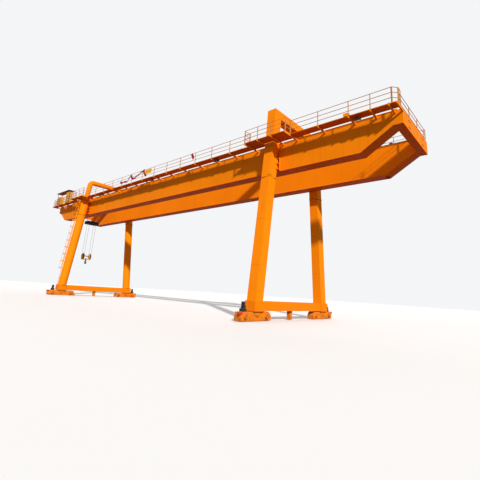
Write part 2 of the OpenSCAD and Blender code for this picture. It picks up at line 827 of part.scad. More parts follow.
// Safety cage that leans with the ladder: hoops in four bent lengths each, and three straps inside them
module ladder_cage() {
    first = sill_top + 1000;
    hoops = floor((ladder_high - 100 - first) / hoop_pitch);
    height = hoops * hoop_pitch + strap_w + 10;
    start = acos((cage_front - cage_x) / cage_r);
    sweep = (360 - 2 * start) / 4;
    strap_r = cage_r - strap_t - 0.75;
    color("orange") mirror([0, 1, 0]) translate([cage_x, tube_mid(first), first]) rotate([leg_lean, 0, 0]) {
        for (i = [0:hoops]) translate([0, 0, i * hoop_pitch]) difference() {
            for (k = [0:3]) rotate([0, 0, start + k * sweep + (k == 0 ? -4 : 0.02)])
                rotate_extrude(angle = sweep + (k == 0 || k == 3 ? 3.98 : -0.04), $fn = 96)
                    translate([cage_r - strap_t, 0]) square([strap_t, strap_w]);
            translate([cage_front - cage_x, -cage_r, -1]) cube([cage_r, 2 * cage_r, strap_w + 2]);
        }
        for (turn = [-1, 1])
            translate([0, turn * (strap_r - strap_t / 2), height / 2 - 5])
                cube([strap_w, strap_t, height], center = true);
        translate([-strap_r + strap_t / 2, 0, height / 2 - 5])
            cube([strap_t, strap_w, height], center = true);
    }
}

// Two switch cabinets on the walkway's far end
module switch_cabinets() {
    color([0.72, 0.55, 0.3]) mirror([0, 1, 0]) for (side = [-1, 1]) {
        tall = side > 0 ? cabinet_h : low_cabinet_h;
        translate([cabinet_x + side * cabinet_pitch / 2, (deck_in + deck_out) / 2, deck_top]) {
            block([-cabinet_w / 2, -cabinet_d / 2, cabinet_foot], [cabinet_w / 2, cabinet_d / 2, tall]);
            block([-cabinet_w / 2 + 15, -cabinet_d / 2 + 15, 0],
                  [cabinet_w / 2 - 15, cabinet_d / 2 - 15, cabinet_foot]);
            block([-cabinet_w / 2 + 12, cabinet_d / 2, cabinet_foot + 12],
                  [-3, cabinet_d / 2 + 8, tall - 12]);
            block([3, cabinet_d / 2, cabinet_foot + 12], [cabinet_w / 2 - 12, cabinet_d / 2 + 8, tall - 12]);
        }
    }
}

// Sheet roof over the cabinets, on four thin posts
module cabinet_roof() {
    half = (cabinet_pitch + cabinet_w) / 2 + 130;
    low = deck_top + roof_h;
    color([0.35, 0.25, 0.2]) mirror([0, 1, 0]) translate([cabinet_x, 0, 0]) {
        block([-half, deck_in - 40, low], [half, deck_out + 60, low + 12]);
        for (side = [-1, 1], y = [deck_in + 20, deck_out - 50])
            translate([side * (half - 60), y, (deck_top + low) / 2])
                cube([22, 22, low - deck_top], center = true);
    }
}

// Floodlights hung from the walkway's plate
module floodlights() {
    color(dark) mirror([0, 1, 0]) for (x = lamps)
        translate([box_x + x, (deck_in + deck_out) / 2, deck_top - deck_t]) {
            block([-12, -5, -70], [12, 5, 0]);
            translate([0, 0, -105]) rotate([-25, 0, 0]) {
                cube([lamp_w, 130, 50], center = true);
                translate([0, 0, -28]) cube([lamp_w + 16, 146, 8], center = true);
                for (k = [-3:3]) translate([k * lamp_w / 8, 0, 34]) cube([6, 100, 20], center = true);
            }
        }
}

// Bare plate on the railing
module sign_plate() {
    color("gold") translate([box_x - sign_in, (post_w - bar) / 2 - deck_out - 5, deck_top + rail_top * 0.66])
        cube([sign_w, 10, sign_h], center = true);
}

// Trolley frame: two end carriages over the rails, two cross members and a deck with a rope opening
module trolley_frame() {
    color(paint) translate([trolley_x, 0, 0]) {
        for (side = [-1, 1])
            for (cheek = [-1, 1])
                block([-trolley_half, side * rail_y + cheek * 62 - 8, trolley_under - 20],
                      [trolley_half, side * rail_y + cheek * 62 + 8, trolley_deck - 10]);
        for (end = [-1, 1])
            block([end * 520 - 90, -rail_y + 54, trolley_under],
                  [end * 520 + 90, rail_y - 54, trolley_deck - 10]);
        difference() {
            block([-trolley_half, -rail_y - 100, trolley_deck - 10],
                  [trolley_half, rail_y + 100, trolley_deck]);
            block([-anchor_out, -slot_half, trolley_deck - 11], [slot_out, slot_half, trolley_deck + 1]);
        }
        block([-anchor_out - 140, -rail_y + 54, trolley_under],
              [-anchor_out, rail_y - 54, trolley_deck - 10]);
    }
}

module trolley_wheels() {
    color(steel) translate([trolley_x, 0, trolley_axle_z]) for (end = [-1, 1], side = [-1, 1])
        translate([end * trolley_base / 2, side * rail_y, 0]) rotate([90, 0, 0]) {
            cylinder(h = 44, r = trolley_wheel_r, center = true, $fn = 64);
            for (rim = [-1, 1]) translate([0, 0, rim * 29])
                cylinder(h = 14, r = trolley_wheel_r + 12, center = true, $fn = 64);
            cylinder(h = 108, r = 22, center = true, $fn = 32);
        }
}

// Rope drum with a flange at each end, between two bearing stands
module hoist_drum() {
    color(steel) translate([trolley_x, 0, drum_z]) {
        rotate([90, 0, 0]) {
            cylinder(h = drum_l, r = groove_r, center = true, $fn = 64);
            for (end = [-1, 1]) translate([0, 0, end * (drum_l / 2 - 10)])
                cylinder(h = 20, r = drum_r + 22, center = true, $fn = 64);
            cylinder(h = drum_l + 200, r = 30, center = true, $fn = 32);
        }
        for (end = [-1, 1]) translate([0, end * (drum_l / 2 + 60), 0]) {
            along_y(40) polygon([
                [-120, trolley_deck - drum_z], [120, trolley_deck - drum_z], [120, trolley_deck - drum_z + 16],
                [60, 10], [-60, 10], [-120, trolley_deck - drum_z + 16]]);
            rotate([90, 0, 0]) cylinder(h = 48, r = 62, center = true, $fn = 48);
        }
    }
}

// Split gear case with feet, a flange round its joint and covers over its shafts
module hoist_gearbox() {
    color(dark) translate([trolley_x + 130, drum_l / 2 + 160, trolley_deck]) {
        translate([0, 0, 10]) cube([560, 150, 20], center = true);
        along_y(120) polygon([
            [-250, 0], [250, 0], [250, 210], [215, 330], [120, 375], [-120, 390], [-230, 350], [-260, 210]]);
        translate([0, 0, 205]) cube([560, 146, 24], center = true);
        for (x = [-130, 190]) translate([x, -60, x < 0 ? drum_h : 130]) rotate([-90, 0, 0])
            cylinder(h = 134, r = x < 0 ? 85 : 60, $fn = 48);
    }
}

// Finned hoist motor on two feet, flanged to the gear case
module hoist_motor() {
    color(dark) translate([trolley_x + 320, drum_l / 2 + 100, trolley_deck + 130]) {
        rotate([90, 0, 0]) {
            cylinder(h = 50, d = 90, $fn = 32);
            translate([0, 0, 50]) cylinder(h = 14, d = 230, $fn = 48);
            translate([0, 0, 64]) finned_motor(108, 420, 16);
        }
        for (y = [-160, -360]) translate([0, y, -75]) cube([190, 60, 110], center = true);
        translate([0, -200, 118]) cube([110, 130, 50], center = true);
    }
}

// Travel drive of the trolley: gear case and finned motor
module trolley_drive() {
    color(dark) translate([trolley_x - 560, 0, trolley_deck]) {
        block([-80, -90, 0], [80, 90, 220]);
        translate([0, 0, 110]) rotate([0, 90, 0]) cylinder(h = 190, r = 55, center = true, $fn = 48);
        translate([0, 90, 130]) rotate([-90, 0, 0]) finned_motor(72, 270, 14);
    }
}

// Heavy frame that hangs round the rope falls and trips the hoist's upper limit
module limit_weight() {
    color(dark) translate([trolley_x, 0, weight_bottom]) {
        difference() {
            block([-270, -400, 0], [270, 400, 200]);
            block([-220, -350, -1], [220, 350, 201]);
        }
        for (side = [-1, 1])
            translate([0, side * 375, 200]) cylinder(h = trolley_deck - 10 - weight_bottom - 200, d = 12, $fn = 16);
    }
}

// Rope falls on one side of the sheaves, up to a given height
module falls(side, high) {
    color([0.3, 0.3, 0.3]) for (y = [-sheave_y, sheave_y])
        translate([trolley_x + side * drum_r, y, block_axis])
            cylinder(h = high - block_axis, d = rope_d, $fn = 16);
}

// Falls that come off the drum
module drum_ropes() {
    falls(1, drum_z);
}

// Falls that are made fast to the trolley's anchor beam
module anchor_ropes() {
    falls(-1, trolley_under);
}

// Rounded cheek plates of the hook block, tied by a cross piece for the hook and a bar over each sheave
module hook_block() {
    low = hook_drop - 40;
    color("gold") translate([trolley_x, 0, block_axis]) {
        difference() {
            for (side = [-1, 1], y = [cheek_in, cheek_out]) translate([0, side * y, 0]) along_y(16) {
                circle(r = cheek_r, $fn = 96);
                polygon([[-cheek_r, 0], [cheek_r, 0], [110, -low], [-110, -low]]);
            }
            rotate([90, 0, 0]) cylinder(h = 720, r = 30.2, center = true, $fn = 32);
        }
        block([-95, -cheek_out - 8, -hook_drop], [95, cheek_out + 8, -low]);
        for (side = [-1, 1], y = [cheek_in, cheek_out]) translate([0, side * y, 0]) rotate([90, 0, 0])
            difference() {
                cylinder(h = 30, r = 62, center = true, $fn = 48);
                cylinder(h = 32, r = 30.2, center = true, $fn = 48);
            }
    }
}

// Grooved sheaves on their axle
module block_sheaves() {
    color(dark) translate([trolley_x, 0, block_axis]) rotate([90, 0, 0]) {
        for (side = [-1, 1]) translate([0, 0, side * sheave_y]) rotate_extrude($fn = 96) polygon([
            [20, -34], [58, -34], [62, -9], [groove_r - 22, -9], [groove_r - 16, -20], [drum_r + 14, -20],
            [drum_r + 14, -15], [groove_r, -5], [groove_r, 5], [drum_r + 14, 15], [drum_r + 14, 20],
            [groove_r - 16, 20], [groove_r - 22, 9], [62, 9], [58, 34], [20, 34]]);
        cylinder(h = 2 * cheek_out + 60, r = 30, center = true, $fn = 32);
    }
}

// Forged hook: a shank through the cross piece with its nut, a round bowl and a blunt tip
module hook() {
    bowl = hook_drop + 75 + hook_r;
    color(steel) translate([trolley_x, 0, block_axis]) {
        translate([0, 0, -hook_drop - 30]) cylinder(h = 30, d = 120, $fn = 48);
        translate([0, 0, -bowl + hook_r - 30]) cylinder(h = bowl - hook_r - hook_drop + 2, d = 74, $fn = 48);
        translate([0, 0, -bowl]) rotate([90, 0, 0]) rotate([0, 0, 90]) {
            rotate_extrude(angle = 270, $fn = 64) translate([hook_r, 0]) circle(d = 70, $fn = 32);
            rotate([0, 0, 270]) translate([hook_r, 0, 0]) rotate([90, 0, 0]) rotate([180, 0, 0])
                cylinder(h = 60, d1 = 70, d2 = 34, $fn = 32);
        }
    }
}

// Double-flanged travel wheel on its axle
module wheel(x, y) {
    color(steel) translate([x, y, wheel_flange_r]) rotate([0, 90, 0]) {
        cylinder(h = tread_w, r = wheel_flange_r - wheel_flange_d, center = true, $fn = 96);
        for (side = [-1, 1]) translate([0, 0, side * (tread_w + wheel_flange_t) / 2])
            cylinder(h = wheel_flange_t, r = wheel_flange_r, center = true, $fn = 96);
        cylinder(h = bogie_w - 2 * bogie_t - 22, r = 52, center = true, $fn = 48);
        cylinder(h = bogie_w + 44, r = axle_r, center = true, $fn = 48);
    }
}

module frame_wheel(x, side, end) {
    wheel(x, side * (bogie_y + end * wheelbase / 2));
}

front_girder();
rear_girder();
end_ties();
trolley_rails();
rail_stops();
box_legs();
box_uprights();
box_saddle();
box_leg_brackets();
box_sill();
tube_legs();
tube_uprights();
tube_bends();
tube_saddle();
tube_leg_brackets();
tube_sill();
bogies();
travel_drives();
travel_buffers();
storm_anchors();
walkway();
walkway_brackets();
front_railing();
rear_railing();
end_railings();
ladder();
ladder_cage();
switch_cabinets();
cabinet_roof();
floodlights();
sign_plate();
trolley_frame();
trolley_wheels();
hoist_drum();
hoist_gearbox();
hoist_motor();
trolley_drive();
limit_weight();
drum_ropes();
anchor_ropes();
hook_block();
block_sheaves();
hook();
frame_wheel(box_x, -1, -1);  // wheel_bf1
frame_wheel(box_x, -1, 1);  // wheel_bf2
frame_wheel(box_x, 1, -1);  // wheel_br1
frame_wheel(box_x, 1, 1);  // wheel_br2
frame_wheel(tube_x, -1, -1);  // wheel_tf1
frame_wheel(tube_x, -1, 1);  // wheel_tf2
frame_wheel(tube_x, 1, -1);  // wheel_tr1
frame_wheel(tube_x, 1, 1);  // wheel_tr2
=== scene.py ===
"""Looks of the half-size double-girder gantry crane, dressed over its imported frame."""

import math

import bmesh
import bpy
from mathutils import Matrix, Vector


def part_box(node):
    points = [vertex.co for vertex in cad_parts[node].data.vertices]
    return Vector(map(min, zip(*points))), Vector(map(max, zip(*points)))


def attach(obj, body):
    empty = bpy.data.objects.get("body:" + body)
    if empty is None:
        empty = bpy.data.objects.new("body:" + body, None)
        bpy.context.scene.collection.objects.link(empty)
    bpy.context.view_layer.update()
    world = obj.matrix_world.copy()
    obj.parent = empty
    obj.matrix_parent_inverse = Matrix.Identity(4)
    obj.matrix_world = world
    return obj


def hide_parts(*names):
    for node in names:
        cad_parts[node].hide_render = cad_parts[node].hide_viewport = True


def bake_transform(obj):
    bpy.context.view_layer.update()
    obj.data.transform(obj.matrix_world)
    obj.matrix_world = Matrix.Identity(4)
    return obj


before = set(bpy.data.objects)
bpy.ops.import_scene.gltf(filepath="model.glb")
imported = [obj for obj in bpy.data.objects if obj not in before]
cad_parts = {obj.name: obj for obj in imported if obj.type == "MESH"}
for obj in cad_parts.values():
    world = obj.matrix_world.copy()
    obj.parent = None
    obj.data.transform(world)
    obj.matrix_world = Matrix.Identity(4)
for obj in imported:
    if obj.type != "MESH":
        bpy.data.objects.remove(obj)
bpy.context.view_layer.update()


# The view
# The photographer stands in the yard beside the box-leg end, at eye height, and looks up along
# the girders. Places are measured from the middle of the box-leg frame.

EYE_FROM_FRAME = (6.863, -10.614)
EYE_HEIGHT = 0.853
TURN, PITCH, ROLL = (math.radians(angle) for angle in (42.20, 13.15, 3.65))
FOCAL_PIXELS = 335.28
AXIS_ABOVE_MIDDLE = 26.5
PICTURE = 480
SENSOR_MM = 36.0


def middle(node):
    low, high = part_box(node)
    return Vector((low[i] + high[i]) / 2 for i in range(3))


box_frame_x = middle("box_saddle").x
tube_frame_x = middle("tube_saddle").x

level_ahead = Vector((-math.sin(TURN), math.cos(TURN), 0))
level_right = Vector((math.cos(TURN), math.sin(TURN), 0))
zenith = Vector((0, 0, 1))
ahead = level_ahead * math.cos(PITCH) + zenith * math.sin(PITCH)
upright = zenith * math.cos(PITCH) - level_ahead * math.sin(PITCH)
right = level_right * math.cos(ROLL) + upright * math.sin(ROLL)
up = upright * math.cos(ROLL) - level_right * math.sin(ROLL)

lens = bpy.data.cameras.new("view")
lens.sensor_width = SENSOR_MM
lens.lens = FOCAL_PIXELS * SENSOR_MM / PICTURE
lens.shift_y = -AXIS_ABOVE_MIDDLE / PICTURE
lens.clip_end = 500
camera = bpy.data.objects.new("view", lens)
bpy.context.scene.collection.objects.link(camera)
turned = Matrix((right, up, -ahead)).transposed().to_4x4()
turned.translation = Vector((box_frame_x + EYE_FROM_FRAME[0], EYE_FROM_FRAME[1], EYE_HEIGHT))
camera.matrix_world = turned
bpy.context.scene.camera = camera
bpy.context.scene.view_settings.view_transform = "Standard"


# The ground and the light
# A pale level floor and a pale sky that only the camera sees, with a soft low sun from the
# front, as in the photograph, and a dim sky for the shaded sides.


class Tree:
    """A node tree. node() sets a node's own settings first, then the values or links of its sockets."""

    def __init__(self, tree):
        self.tree = tree
        tree.nodes.clear()

    def node(self, kind, settings=(), sockets=(), out=0):
        made = self.tree.nodes.new(kind)
        for name, value in dict(settings).items():
            if name == "stops":
                for place, colour in value[len(made.color_ramp.elements):]:
                    made.color_ramp.elements.new(place)
                for element, (place, colour) in zip(made.color_ramp.elements, value):
                    element.position = place
                    element.color = colour
            else:
                setattr(made, name, value)
        for name, value in dict(sockets).items():
            links = value if isinstance(value, list) else [value]
            for link in links:
                if isinstance(link, Socket):
                    self.tree.links.new(link.socket, made.inputs[name])
                else:
                    made.inputs[name].default_value = link
        return Socket(self, made.outputs[out]) if made.outputs else made


class Socket:
    """One output socket. Each operator adds a Math node."""

    def __init__(self, tree, socket):
        self.tree = tree
        self.socket = socket

    def math(self, operation, first, second=0.0):
        return self.tree.node("ShaderNodeMath", {"operation": operation}, {0: first, 1: second})

    def __add__(self, other):
        return self.math("ADD", self, other)

    def __radd__(self, other):
        return self.math("ADD", other, self)

    def __sub__(self, other):
        return self.math("SUBTRACT", self, other)

    def __rsub__(self, other):
        return self.math("SUBTRACT", other, self)

    def __mul__(self, other):
        return self.math("MULTIPLY", self, other)

    def __rmul__(self, other):
        return self.math("MULTIPLY", other, self)

    def __abs__(self):
        return self.math("ABSOLUTE", self)

    def step(self, low, high):
        """0 below low, 1 above high, and smooth between; the other way round where low is the larger."""
        settings = {"interpolation_type": "SMOOTHSTEP"}
        sockets = {"Value": self, "From Min": low, "From Max": high}
        return self.tree.node("ShaderNodeMapRange", settings, sockets)


FLOOR_SEEN = 0.93
FLOOR_BOUNCE = 0.20
SKY_SEEN = 0.93
SKY_LIGHT = 0.32


def for_the_eye(tree, seen_value, light_value):
    """One value for what the camera, a reflection or a glass sees, and one for the light it gives."""
    seen = tree.node("ShaderNodeLightPath", out=0)
    for other in (3, 6):
        seen = seen.math("MAXIMUM", seen, tree.node("ShaderNodeLightPath", out=other))
    return seen * (seen_value - light_value) + light_value


world = bpy.data.worlds.new("sky")
bpy.context.scene.world = world
world.use_nodes = True
sky = Tree(world.node_tree)
strength = for_the_eye(sky, SKY_SEEN, SKY_LIGHT)
light = sky.node("ShaderNodeBackground", {}, {"Color": (0.97, 0.985, 1.0, 1.0), "Strength": strength})
sky.node("ShaderNodeOutputWorld", {}, {"Surface": light})


def mesh_object(name, verts, faces):
    mesh = bpy.data.meshes.new(name)
    mesh.from_pydata([tuple(vert) for vert in verts], [], faces)
    made = bpy.data.objects.new(name, mesh)
    bpy.context.scene.collection.objects.link(made)
    return made


def material(name):
    made = bpy.data.materials.new(name)
    made.use_nodes = True
    return made, Tree(made.node_tree)


def finish(tree, **sockets):
    """Ends a material in one shader. A socket's name has its spaces as underscores."""
    values = {name.replace("_", " "): value for name, value in sockets.items()}
    shader = tree.node("ShaderNodeBsdfPrincipled", {}, values)
    tree.node("ShaderNodeOutputMaterial", {}, {"Surface": shader})


FLOOR_HALF = 90.0
floor = mesh_object("floor", [(-FLOOR_HALF, -FLOOR_HALF, 0), (FLOOR_HALF, -FLOOR_HALF, 0),
                              (FLOOR_HALF, FLOOR_HALF, 0), (-FLOOR_HALF, FLOOR_HALF, 0)], [(0, 1, 2, 3)])
floor_paint, tree = material("floor")
shade = for_the_eye(tree, FLOOR_SEEN, FLOOR_BOUNCE)
grey = tree.node("ShaderNodeCombineColor", {}, {0: shade, 1: shade, 2: shade})
finish(tree, Base_Color=grey, Roughness=0.9)
floor.data.materials.append(floor_paint)


def sun(name, energy, soft, heading, height, colour):
    """A sun at a heading from +X towards +Y and a height above the horizon, both in degrees."""
    lamp = bpy.data.lights.new(name, "SUN")
    lamp.energy = energy
    lamp.angle = math.radians(soft)
    lamp.color = colour
    made = bpy.data.objects.new(name, lamp)
    made.rotation_euler = (math.radians(90 - height), 0, math.radians(heading + 90))
    bpy.context.scene.collection.objects.link(made)


sun("key", 4.0, 2.5, -34, 28, (1.0, 0.97, 0.92))
sun("fill", 0.25, 60, -150, 25, (0.95, 0.97, 1.0))
sun("back", 0.7, 60, 125, 30, (0.95, 0.97, 1.0))


# The bogies
# Welded boxes of plate under each end of the ground beams, painted orange like the whole crane,
# with a square bearing housing on both sides of each wheel, screwed on and closed by a round
# cover, with a dark ring behind it: painted shade that stands for the dark wheel openings.

ORANGE = (0.92, 0.235, 0.003, 1.0)
ORANGE_DEEP = (0.80, 0.175, 0.002, 1.0)
DUST = (0.55, 0.36, 0.19, 1.0)
# Painted shade: the darker, redder colour that downward faces get.
UNDERSIDE_SHADE = (0.66, 0.075, 0.003, 1.0)
STREAK = (0.42, 0.10, 0.006, 1.0)
RUST = (0.16, 0.045, 0.015, 1.0)
SPLASH = (0.20, 0.105, 0.05, 1.0)


def mix(tree, factor, first, second):
    settings = {"data_type": "RGBA", "blend_type": "MIX"}
    return tree.node("ShaderNodeMix", settings, {0: factor, 6: first, 7: second}, out=2)


def place(tree, scale=(1, 1, 1)):
    """The object's own coordinates, in metres times scale."""
    here = tree.node("ShaderNodeTexCoord", out=3)
    return tree.node("ShaderNodeMapping", {}, {"Vector": here, "Scale": scale})


def noise(tree, scale, detail=3.0, stretch=(1, 1, 1), rough=0.5):
    sockets = {"Vector": place(tree, stretch), "Scale": scale, "Detail": detail, "Roughness": rough}
    return tree.node("ShaderNodeTexNoise", {}, sockets)


def facing_up(tree):
    normal = tree.node("ShaderNodeNewGeometry", out=1)
    return tree.node("ShaderNodeSeparateXYZ", {}, {0: normal}, out=2)


def bumped(tree, height, distance, strength=0.4):
    return tree.node("ShaderNodeBump", {}, {"Strength": strength, "Distance": distance, "Height": height})


def painted(name, colour=ORANGE, deep=ORANGE_DEEP, rough=0.45, dust=0.45, streaks=0.3, underside_shade=0.75,
            chips=0.35):
    """Uneven enamel with rain streaks, dust on top, painted shade below, mud near the ground and chips."""
    made, tree = material(name)
    tone = noise(tree, 0.7, 4.0).step(0.33, 0.68)
    base = mix(tree, tone * 0.45, colour, deep)
    runs = noise(tree, 1.0, 3.0, stretch=(11, 11, 0.30)).step(0.55, 0.80)
    height = facing_up(tree)
    side = 1 - abs(height).step(0.3, 0.9)
    base = mix(tree, runs * side * streaks, base, STREAK)
    speck = noise(tree, 16.0, 5.0).step(0.30, 0.62)
    base = mix(tree, height.step(0.35, 0.9) * speck * dust, base, DUST)
    # Downward faces are darkened and reddened here: painted shade.
    base = mix(tree, (0 - height).step(0.45, 0.95) * underside_shade, base, UNDERSIDE_SHADE)
    above_ground = tree.node("ShaderNodeSeparateXYZ", {}, {0: place(tree)}, out=2)
    splash = above_ground.step(0.48, 0.02) * noise(tree, 6.5, 6.0, rough=0.6).step(0.36, 0.64)
    base = mix(tree, splash * 0.55, base, SPLASH)
    chip = noise(tree, 34.0, 6.0, rough=0.7).step(0.665, 0.70) * noise(tree, 2.3, 2.0).step(0.48, 0.60)
    base = mix(tree, chip * chips, base, RUST)
    uneven = noise(tree, 1.6, 2.0) * 0.7 + noise(tree, 46.0, 3.0) * 0.04 - chip * 0.05
    gloss = rough + speck * 0.10 + height.step(0.35, 0.9) * 0.25 + runs * 0.1 + chip * 0.3
    finish(tree, Base_Color=base, Roughness=gloss, Normal=bumped(tree, uneven, 0.012, 0.35),
           Specular_IOR_Level=0.02)
    return made


def metal(name, colour, rough=0.45, metallic=0.9, dirt=0.5, dirt_colour=(0.09, 0.05, 0.03, 1.0)):
    """Bare or oiled metal with rust and dirt in patches."""
    made, tree = material(name)
    patch = noise(tree, 9.0, 5.0).step(0.42, 0.66)
    base = mix(tree, patch * dirt, colour, dirt_colour)
    fine = noise(tree, 120.0, 2.0) + patch * 0.4
    finish(tree, Base_Color=base, Roughness=rough + patch * 0.3, Metallic=metallic - patch * 0.6,
           Normal=bumped(tree, fine, 0.002, 0.3))
    return made


def dress(nodes, made):
    for node in nodes.split():
        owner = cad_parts[node]
        owner.data.materials.clear()
        owner.data.materials.append(made)


def add(piece, made, body="gantry"):
    piece.data.materials.clear()
    piece.data.materials.append(made)
    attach(piece, body)
    return piece


def blocks(name, corners, bevel=0.0):
    """Square pieces, each from its low corner to its high corner, with their edges broken."""
    shape = bmesh.new()
    for low, high in corners:
        low, high = Vector(low), Vector(high)
        size = Matrix.Diagonal((high - low)).to_4x4()
        bmesh.ops.create_cube(shape, size=1.0, matrix=Matrix.Translation((low + high) / 2) @ size)
    if bevel:
        bmesh.ops.bevel(shape, geom=shape.edges[:], offset=bevel, segments=2, affect="EDGES")
    made = mesh_object(name, [], [])
    shape.to_mesh(made.data)
    shape.free()
    return made


def discs(name, places, radius, depth, bevel=0.0, sides=32):
    """Round pieces, each standing on its place and pointing its own way."""
    shape = bmesh.new()
    for spot, way in places:
        turn = Vector((0, 0, 1)).rotation_difference(Vector(way)).to_matrix().to_4x4()
        stand = Matrix.Translation(Vector(spot)) @ turn @ Matrix.Translation((0, 0, depth / 2))
        new = bmesh.ops.create_cone(shape, cap_ends=True, segments=sides, radius1=radius, radius2=radius,
                                    depth=depth, matrix=stand)
        if bevel:
            tip = Vector(spot) + Vector(way).normalized() * depth
            rim = {edge for vert in new["verts"] for edge in vert.link_edges
                   if all(abs((v.co - tip).dot(Vector(way).normalized())) < 1e-6 for v in edge.verts)}
            bmesh.ops.bevel(shape, geom=list(rim), offset=bevel, segments=2, affect="EDGES")
    made = mesh_object(name, [], [])
    shape.to_mesh(made.data)
    shape.free()
    return made


def tubes(name, paths, radius, sides=8):
    """Round bars or weld beads along paths of points, closed at their ends."""
    verts, faces = [], []
    for path in paths:
        path = [Vector(spot) for spot in path]
        start = len(verts)
        across = None
        for i, here in enumerate(path):
            before = (here - path[i - 1]).normalized() if i else (path[1] - here).normalized()
            after = (path[i + 1] - here).normalized() if i + 1 < len(path) else before
            along = (before + after).normalized()
            across = along.orthogonal() if across is None else across
            across = (across - along * across.dot(along)).normalized()
            other = along.cross(across)
            for k in range(sides):
                turn = 2 * math.pi * k / sides
                verts.append(here + (across * math.cos(turn) + other * math.sin(turn)) * radius)
        for i in range(len(path) - 1):
            ring = start + i * sides
            faces += [(ring + k, ring + (k + 1) % sides, ring + sides + (k + 1) % sides, ring + sides + k)
                      for k in range(sides)]
        faces.append(tuple(start + k for k in reversed(range(sides))))
        faces.append(tuple(len(verts) - sides + k for k in range(sides)))
    return mesh_object(name, verts, faces)


def ring(centre, radius, count, first=(1, 0, 0), second=(0, 1, 0)):
    """A closed ring of points round a centre, from a first way towards a second."""
    turns = [2 * math.pi * k / count for k in range(count + 1)]
    first, second = Vector(first), Vector(second)
    return [Vector(centre) + (first * math.cos(turn) + second * math.sin(turn)) * radius for turn in turns]


def maker(name, inputs):
    """An empty tree that makes a mesh from points, and the sockets of its named inputs."""
    tree = bpy.data.node_groups.new(name, "GeometryNodeTree")
    tree.interface.new_socket("Points", in_out="INPUT", socket_type="NodeSocketGeometry")
    for label, kind in inputs.items():
        tree.interface.new_socket(label, in_out="INPUT", socket_type="NodeSocket" + kind)
    tree.interface.new_socket("Made", in_out="OUTPUT", socket_type="NodeSocketGeometry")
    made = Tree(tree)
    given = tree.nodes.new("NodeGroupInput")
    return made, {socket.name: Socket(made, socket) for socket in given.outputs if socket.name}


def on_points(tree, given, shape):
    """Stands a shape on each point, turned the way that the point faces, and ends the tree."""
    facing = tree.node("GeometryNodeInputNamedAttribute", {"data_type": "FLOAT_VECTOR"}, {"Name": "facing"})
    turn = tree.node("FunctionNodeAlignRotationToVector", {"axis": "Z"}, {"Vector": facing})
    sockets = {"Points": given["Points"], "Instance": shape, "Rotation": turn}
    placed = tree.node("GeometryNodeInstanceOnPoints", {}, sockets)
    real = tree.node("GeometryNodeRealizeInstances", {}, {"Geometry": placed})
    coated = tree.node("GeometryNodeSetMaterial", {}, {"Geometry": real, "Material": given["Paint"]})
    tree.node("NodeGroupOutput", {}, {"Made": coated})


def grow(name, places, tree, inputs, body="gantry"):
    """Runs a tree on bare points, each with the way it faces, and keeps the plain mesh it makes."""
    seed = mesh_object(name, [spot for spot, way in places], [])
    facing = seed.data.attributes.new("facing", "FLOAT_VECTOR", "POINT")
    for item, (spot, way) in zip(facing.data, places):
        item.vector = Vector(way)
    modifier = seed.modifiers.new("made", "NODES")
    modifier.node_group = tree.tree
    for socket in tree.tree.interface.items_tree:
        if socket.in_out == "INPUT" and socket.name in inputs:
            modifier[socket.identifier] = inputs[socket.name]
    graph = bpy.context.evaluated_depsgraph_get()
    plain = bpy.data.meshes.new_from_object(seed.evaluated_get(graph), depsgraph=graph)
    seed.modifiers.clear()
    seed.data = plain
    return add(seed, inputs["Paint"], body)


screw_tree, given = maker("hex screws", {"Head": "Float", "Washer": "Float", "Paint": "Material"})
WASHER_THICK = 0.12
washer = screw_tree.node("GeometryNodeMeshCylinder", {}, {
    "Vertices": 12, "Radius": given["Washer"] * 0.5, "Depth": given["Head"] * (2 * WASHER_THICK)})
head = screw_tree.node("GeometryNodeMeshCylinder", {}, {
    "Vertices": 6, "Radius": given["Head"] * 0.577, "Depth": given["Head"] * 0.62})
lift = screw_tree.node("ShaderNodeCombineXYZ", {}, {2: given["Head"] * (0.31 + WASHER_THICK)})
head = screw_tree.node("GeometryNodeTransform", {}, {"Geometry": head, "Translation": lift})
end = screw_tree.node("GeometryNodeMeshCylinder", {}, {
    "Vertices": 8, "Radius": given["Head"] * 0.27, "Depth": given["Head"] * 0.5})
lift = screw_tree.node("ShaderNodeCombineXYZ", {}, {2: given["Head"] * 0.8})
end = screw_tree.node("GeometryNodeTransform", {}, {"Geometry": end, "Translation": lift})
whole = screw_tree.node("GeometryNodeJoinGeometry", {}, {0: [washer, head, end]})
on_points(screw_tree, given, whole)


def screws(name, places, head, made, body="gantry"):
    """Hexagon heads on washers, each at its place and facing its own way."""
    return grow(name, places, screw_tree, {"Head": head, "Washer": head * 1.9, "Paint": made}, body)


bogie_paint = painted("bogie paint", chips=0.6, dust=0.6)
dress("bogies", bogie_paint)
fixing_steel = metal("screw steel", (0.30, 0.20, 0.12, 1.0), rough=0.5, dirt=0.7)
painted_screws = painted("painted screws", deep=STREAK, chips=0.8)

HOUSING_FACE = 0.154
COVER_FACE = 0.162
COVER_R = 0.045
COVER_THICK = 0.006
COVER_SCREWS_R = 0.034
HOUSING_SCREWS_R = 0.070
wheel_nodes = sorted(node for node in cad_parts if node.startswith("wheel_"))
housing_places, cover_places, cover_screws = [], [], []
for node in wheel_nodes:
    axle = middle(node)
    for side in (-1, 1):
        way = Vector((side, 0, 0))
        face = axle + way * HOUSING_FACE
        for y, z in ((1, 0), (-1, 0), (0, 1), (0, -1)):
            housing_places.append((face + Vector((0, y, z)) * HOUSING_SCREWS_R, way))
        cover_places.append((axle + way * COVER_FACE, way))
        lid = axle + way * (COVER_FACE + COVER_THICK)
        for spot in ring(lid, COVER_SCREWS_R, 6, first=(0, 1, 0), second=(0, 0, 1))[:-1]:
            cover_screws.append((spot, way))
screws("housing_screws", housing_places, 0.017, fixing_steel)
add(discs("bearing_covers", cover_places, COVER_R, COVER_THICK, bevel=0.0015), bogie_paint)
# Behind each cover, a dark ring is painted shade that stands for the dark wheel openings.
bearing_shade = metal("bearing shade", (0.055, 0.030, 0.014, 1.0), rough=0.5, metallic=0.1, dirt=0.6)
